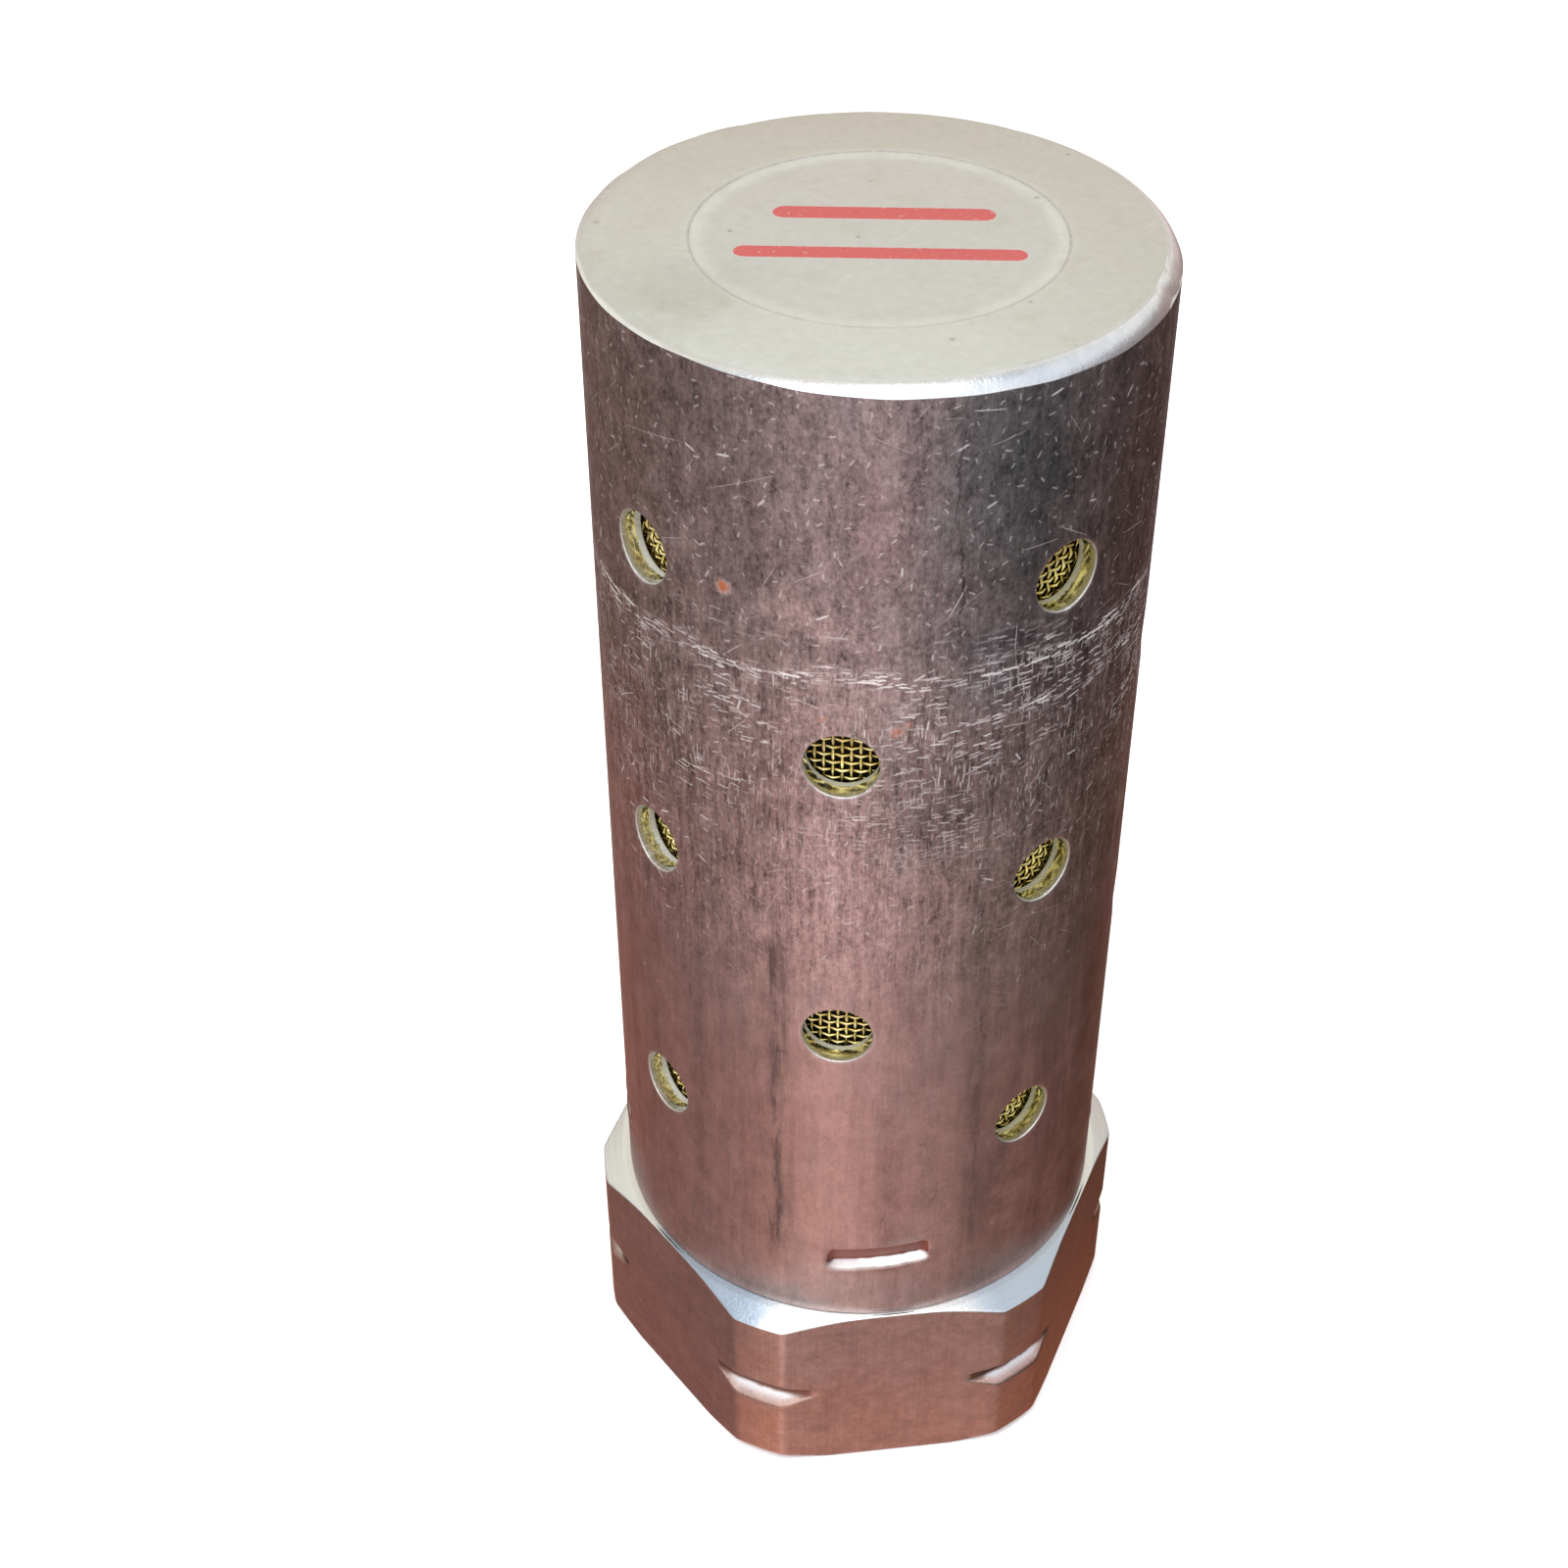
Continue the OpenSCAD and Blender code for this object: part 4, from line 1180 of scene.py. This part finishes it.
def gasket_material():
    material, graph = new_material("fibre_gasket")
    fibres = graph.noise(graph.point, scale=4.0, detail=5.0, rough=0.7, distortion=0.6)
    colour = graph.mix(fibres.fade(0.35, 0.7), (0.075, 0.045, 0.030), (0.20, 0.13, 0.085))
    graph.surface(colour, metallic=0.0, rough=0.85, height=fibres, depth=0.00006, strength=0.8)
    return material


# ---------------------------------------------------------------- put together
def dress(ob, material):
    ob.data.materials.clear()
    ob.data.materials.append(material)


def place(ob, material, slot, *nodes):
    """Hangs a built piece in the frame; nodes are the CAD pieces it stands for."""
    dress(ob, material)
    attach(ob, "root")
    if nodes:
        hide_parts(*nodes)


can_metal = can_material()
hex_metal = hex_material()
cloth_brass = brass_material("brass_wire_cloth", bright=(0.96, 0.84, 0.36),
                             dark=(0.74, 0.58, 0.17), woven=True)
inner_brass = brass_material("brass_inner_cloth", bright=(0.78, 0.60, 0.20),
                             dark=(0.58, 0.43, 0.12), weave_period=0.61)
wire_brass = brass_material("brass_binding_wire", bright=(0.80, 0.60, 0.24),
                            dark=(0.60, 0.42, 0.14))
felt = felt_material()
zinc = steel_material("plated_steel", tint=(0.70, 0.70, 0.69), rough=0.28, line_scale=3.0)
spring = steel_material("spring_steel", tint=(0.42, 0.41, 0.40), rough=0.30, line_scale=4.0)
gasket = gasket_material()

place(build_can(), can_metal, "can_aluminium", "muffler_shell")
place(build_hex(), hex_metal, "base_aluminium", "hex_base")
warp_wires, weft_wires = build_cloth()
place(warp_wires, cloth_brass, "brass_cloth", "outer_screen")
place(weft_wires, cloth_brass, "brass_cloth")
place(build_felt(), felt, "felt", "packing_sleeve")
for node_name, node_material in (
        ("inner_screen", inner_brass), ("screen_tie_wires", wire_brass),
        ("diffuser_tube", zinc), ("diffuser_collar", wire_brass), ("diffuser_cap", zinc),
        ("foot_gasket", gasket), ("lower_screen_ring", zinc), ("upper_screen_ring", zinc),
        ("wave_washer", spring)):
    dress(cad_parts[node_name], node_material)

# ---------------------------------------------------------------- floor and world
CAMERA_AZIMUTH = -9.442 * DEG


def build_floor():
    bpy.ops.mesh.primitive_circle_add(vertices=128, radius=3.0, fill_type="NGON",
                                      location=(0, 0, -0.0001))
    ob = bpy.context.active_object
    ob.name = "floor"
    material, graph = new_material("pale_floor")
    cloud = graph.noise(graph.point, scale=0.02)
    graph.surface(graph.mix(cloud, (0.90, 0.90, 0.90), (0.93, 0.93, 0.93)),
                  metallic=0.0, rough=0.9)
    graph.feed(graph.bsdf.inputs["Specular IOR Level"], 0.1)
    ob.data.materials.append(material)
    ob.visible_glossy = False


# bands of the surroundings from straight below to high above. Each has the elevations between
# which it takes over, then stops: azimuth from the camera's side, colour
SKY = [
    (None, [
        (-180, (0.50, 0.26, 0.20)), (-150, (0.27, 0.14, 0.11)), (-120, (0.235, 0.150, 0.145)),
        (-85, (0.25, 0.165, 0.16)), (-62, (0.42, 0.26, 0.23)), (-45, (0.64, 0.37, 0.31)),
        (-20, (0.74, 0.47, 0.42)), (0, (0.56, 0.37, 0.34)), (22, (0.46, 0.31, 0.30)),
        (45, (0.40, 0.26, 0.24)), (70, (0.42, 0.225, 0.17)), (95, (0.38, 0.17, 0.12)),
        (125, (0.28, 0.105, 0.06)), (150, (0.29, 0.11, 0.065)), (180, (0.50, 0.26, 0.20))]),
    ((-54.0, -47.0), [
        (-180, (0.46, 0.235, 0.19)), (-150, (0.29, 0.125, 0.095)), (-120, (0.30, 0.155, 0.125)),
        (-82, (0.33, 0.21, 0.19)), (-55, (0.41, 0.29, 0.27)), (-34, (0.57, 0.41, 0.37)),
        (-20, (0.98, 0.74, 0.69)), (-6, (0.95, 0.71, 0.66)), (8, (0.65, 0.46, 0.42)),
        (22, (0.54, 0.375, 0.34)), (38, (0.43, 0.325, 0.30)), (52, (0.36, 0.28, 0.26)),
        (67, (0.23, 0.185, 0.17)), (84, (0.185, 0.135, 0.125)), (105, (0.150, 0.098, 0.084)),
        (125, (0.122, 0.065, 0.044)), (150, (0.14, 0.050, 0.030)), (180, (0.46, 0.235, 0.19))]),
    ((-43.0, -31.0), [
        (-180, (0.40, 0.25, 0.215)), (-150, (0.225, 0.130, 0.107)), (-120, (0.23, 0.152, 0.130)),
        (-82, (0.25, 0.188, 0.175)), (-55, (0.285, 0.222, 0.216)), (-38, (0.34, 0.27, 0.275)),
        (-22, (0.54, 0.37, 0.40)), (-4, (0.66, 0.50, 0.53)), (10, (0.49, 0.425, 0.45)),
        (22, (0.295, 0.285, 0.315)), (36, (0.135, 0.140, 0.158)), (50, (0.088, 0.110, 0.122)),
        (65, (0.076, 0.090, 0.100)), (84, (0.070, 0.064, 0.066)), (105, (0.075, 0.058, 0.056)),
        (125, (0.070, 0.044, 0.038)), (150, (0.074, 0.032, 0.026)), (180, (0.40, 0.25, 0.215))]),
    ((-25.0, -5.0), [
        (-180, (0.95, 0.80, 0.77)), (-155, (0.42, 0.34, 0.32)), (-110, (0.36, 0.30, 0.28)),
        (-60, (0.50, 0.43, 0.42)), (-25, (1.05, 0.98, 0.98)), (10, (1.05, 1.0, 1.0)),
        (40, (0.46, 0.44, 0.46)), (90, (0.24, 0.22, 0.23)), (130, (0.30, 0.23, 0.21)),
        (160, (0.80, 0.66, 0.63)), (180, (0.95, 0.80, 0.77))]),
    ((2.0, 22.0), [
        (-180, (0.90, 0.86, 0.75)), (-120, (0.88, 0.87, 0.80)), (-75, (0.74, 0.76, 0.80)),
        (-35, (1.12, 1.15, 1.20)), (25, (1.20, 1.22, 1.26)), (65, (0.74, 0.78, 0.86)),
        (120, (0.80, 0.80, 0.78)), (180, (0.90, 0.86, 0.75))]),
    ((46.0, 60.0), [
        (-180, (0.84, 0.79, 0.68)), (-120, (0.78, 0.75, 0.68)), (-80, (0.55, 0.58, 0.64)),
        (-50, (0.50, 0.55, 0.62)), (-25, (1.0, 1.02, 1.05)), (20, (1.05, 1.06, 1.08)),
        (50, (0.55, 0.60, 0.68)), (90, (0.52, 0.55, 0.58)), (130, (0.80, 0.77, 0.70)),
        (180, (0.84, 0.79, 0.68))]),
]
ZENITH = (1.15, 1.15, 1.13)
WINDOW_ELEVATION, WINDOW_OUTER, WINDOW_INNER = 66.0, 25, 14     # degrees
WINDOW_COLOUR, WINDOW_STRENGTH = (3.4, 3.45, 3.55), 1.0


def sky_band(graph, turn, stops):
    """Colour ramp once around; turn is 0.5 on the camera's side."""
    node = graph.node("ShaderNodeValToRGB", {0: turn})
    elements = node.color_ramp.elements
    while len(elements) > 1:
        elements.remove(elements[-1])
    for i, (azimuth, colour) in enumerate(stops):
        position = (azimuth + 180) / 360.0
        element = elements.new(position) if i else elements[0]
        element.position = position
        element.color = (*colour, 1)
    return Value(graph, node.outputs[0])


def build_world():
    """Tinted surroundings for light and reflections, plain white for the camera."""
    world = bpy.data.worlds.new("studio")
    scene.world = world
    world.use_nodes = True
    graph = Graph(world.node_tree)
    generated = graph.out("ShaderNodeTexCoord", "Generated")
    direction = graph.vector("NORMALIZE", generated)
    x, y, z = direction.xyz()
    azimuth = azimuth_of(x, y) - CAMERA_AZIMUTH
    turn = graph.math("FRACT", azimuth / (2 * math.pi) + 0.5)
    elevation = graph.math("ARCSINE", z) * PER_RADIAN
    colour = None
    for limits, stops in SKY:
        band = sky_band(graph, turn, stops)
        colour = band if limits is None else graph.mix(elevation.fade(*limits), colour, band)
    colour = graph.mix(elevation.fade(76.0, 88.0), colour, ZENITH)

    # bright round window high on the camera's side
    rise = WINDOW_ELEVATION * DEG
    centre = (math.sin(CAMERA_AZIMUTH) * math.cos(rise),
              -math.cos(CAMERA_AZIMUTH) * math.cos(rise), math.sin(rise))
    window = graph.vector("DOT_PRODUCT", direction, centre).fade(
        math.cos(WINDOW_OUTER * DEG), math.cos(WINDOW_INNER * DEG))
    colour = graph.mix(window * WINDOW_STRENGTH, colour, WINDOW_COLOUR)
    shader = graph.out("ShaderNodeMixShader", 0, {
        0: graph.out("ShaderNodeLightPath", "Is Camera Ray"),
        1: graph.out("ShaderNodeBackground", 0, {0: colour}),
        2: graph.out("ShaderNodeBackground", 0, {0: WHITE})})
    graph.node("ShaderNodeOutputWorld", {0: shader})


# ---------------------------------------------------------------- lights and camera
def soft_light(name, where, size, watts):
    """Disk light aimed at the middle of the muffler, unseen in reflections."""
    light = bpy.data.lights.new(name, "AREA")
    light.shape, light.size, light.energy = "DISK", size, watts
    ob = bpy.data.objects.new(name, light)
    scene.collection.objects.link(ob)
    ob.location = where
    aim = Vector((0, 0, 0.05)) - Vector(where)
    ob.rotation_euler = aim.to_track_quat("-Z", "Y").to_euler()
    ob.visible_glossy = False


def build_camera():
    data = bpy.data.cameras.new("camera")
    camera = bpy.data.objects.new("camera", data)
    scene.collection.objects.link(camera)
    pitch, yaw, roll = 39.316 * DEG, -2.463 * DEG, -0.191 * DEG
    forward = Vector((math.sin(yaw) * math.cos(pitch), math.cos(yaw) * math.cos(pitch),
                      -math.sin(pitch)))
    level = Vector((math.cos(yaw), -math.sin(yaw), 0))
    upright = level.cross(forward)
    right = math.cos(roll) * level + math.sin(roll) * upright
    upward = -math.sin(roll) * level + math.cos(roll) * upright
    aim = Matrix((right, upward, -forward)).transposed().to_4x4()
    # placed on the -Y side, then swung round the axis
    swing = Matrix.Rotation(CAMERA_AZIMUTH, 4, "Z")
    camera.matrix_world = swing @ Matrix.Translation((0, -0.138699, 0.167501)) @ aim
    data.sensor_width = 36.0
    data.sensor_fit = "HORIZONTAL"
    data.lens = 56.4525
    data.clip_start = 0.005
    data.clip_end = 50.0
    scene.camera = camera


build_floor()
build_world()
soft_light("key_light", where=(-0.5, -0.5, 1.1), size=0.8, watts=9.0)
soft_light("fill_light", where=(0.9, 0.2, 0.9), size=1.0, watts=4.0)
soft_light("back_light", where=(0.1, 1.0, 0.8), size=1.0, watts=4.0)
build_camera()

scene.view_settings.view_transform = "Standard"
scene.view_settings.look = "None"
scene.view_settings.exposure = 0.0
scene.view_settings.gamma = 1.0
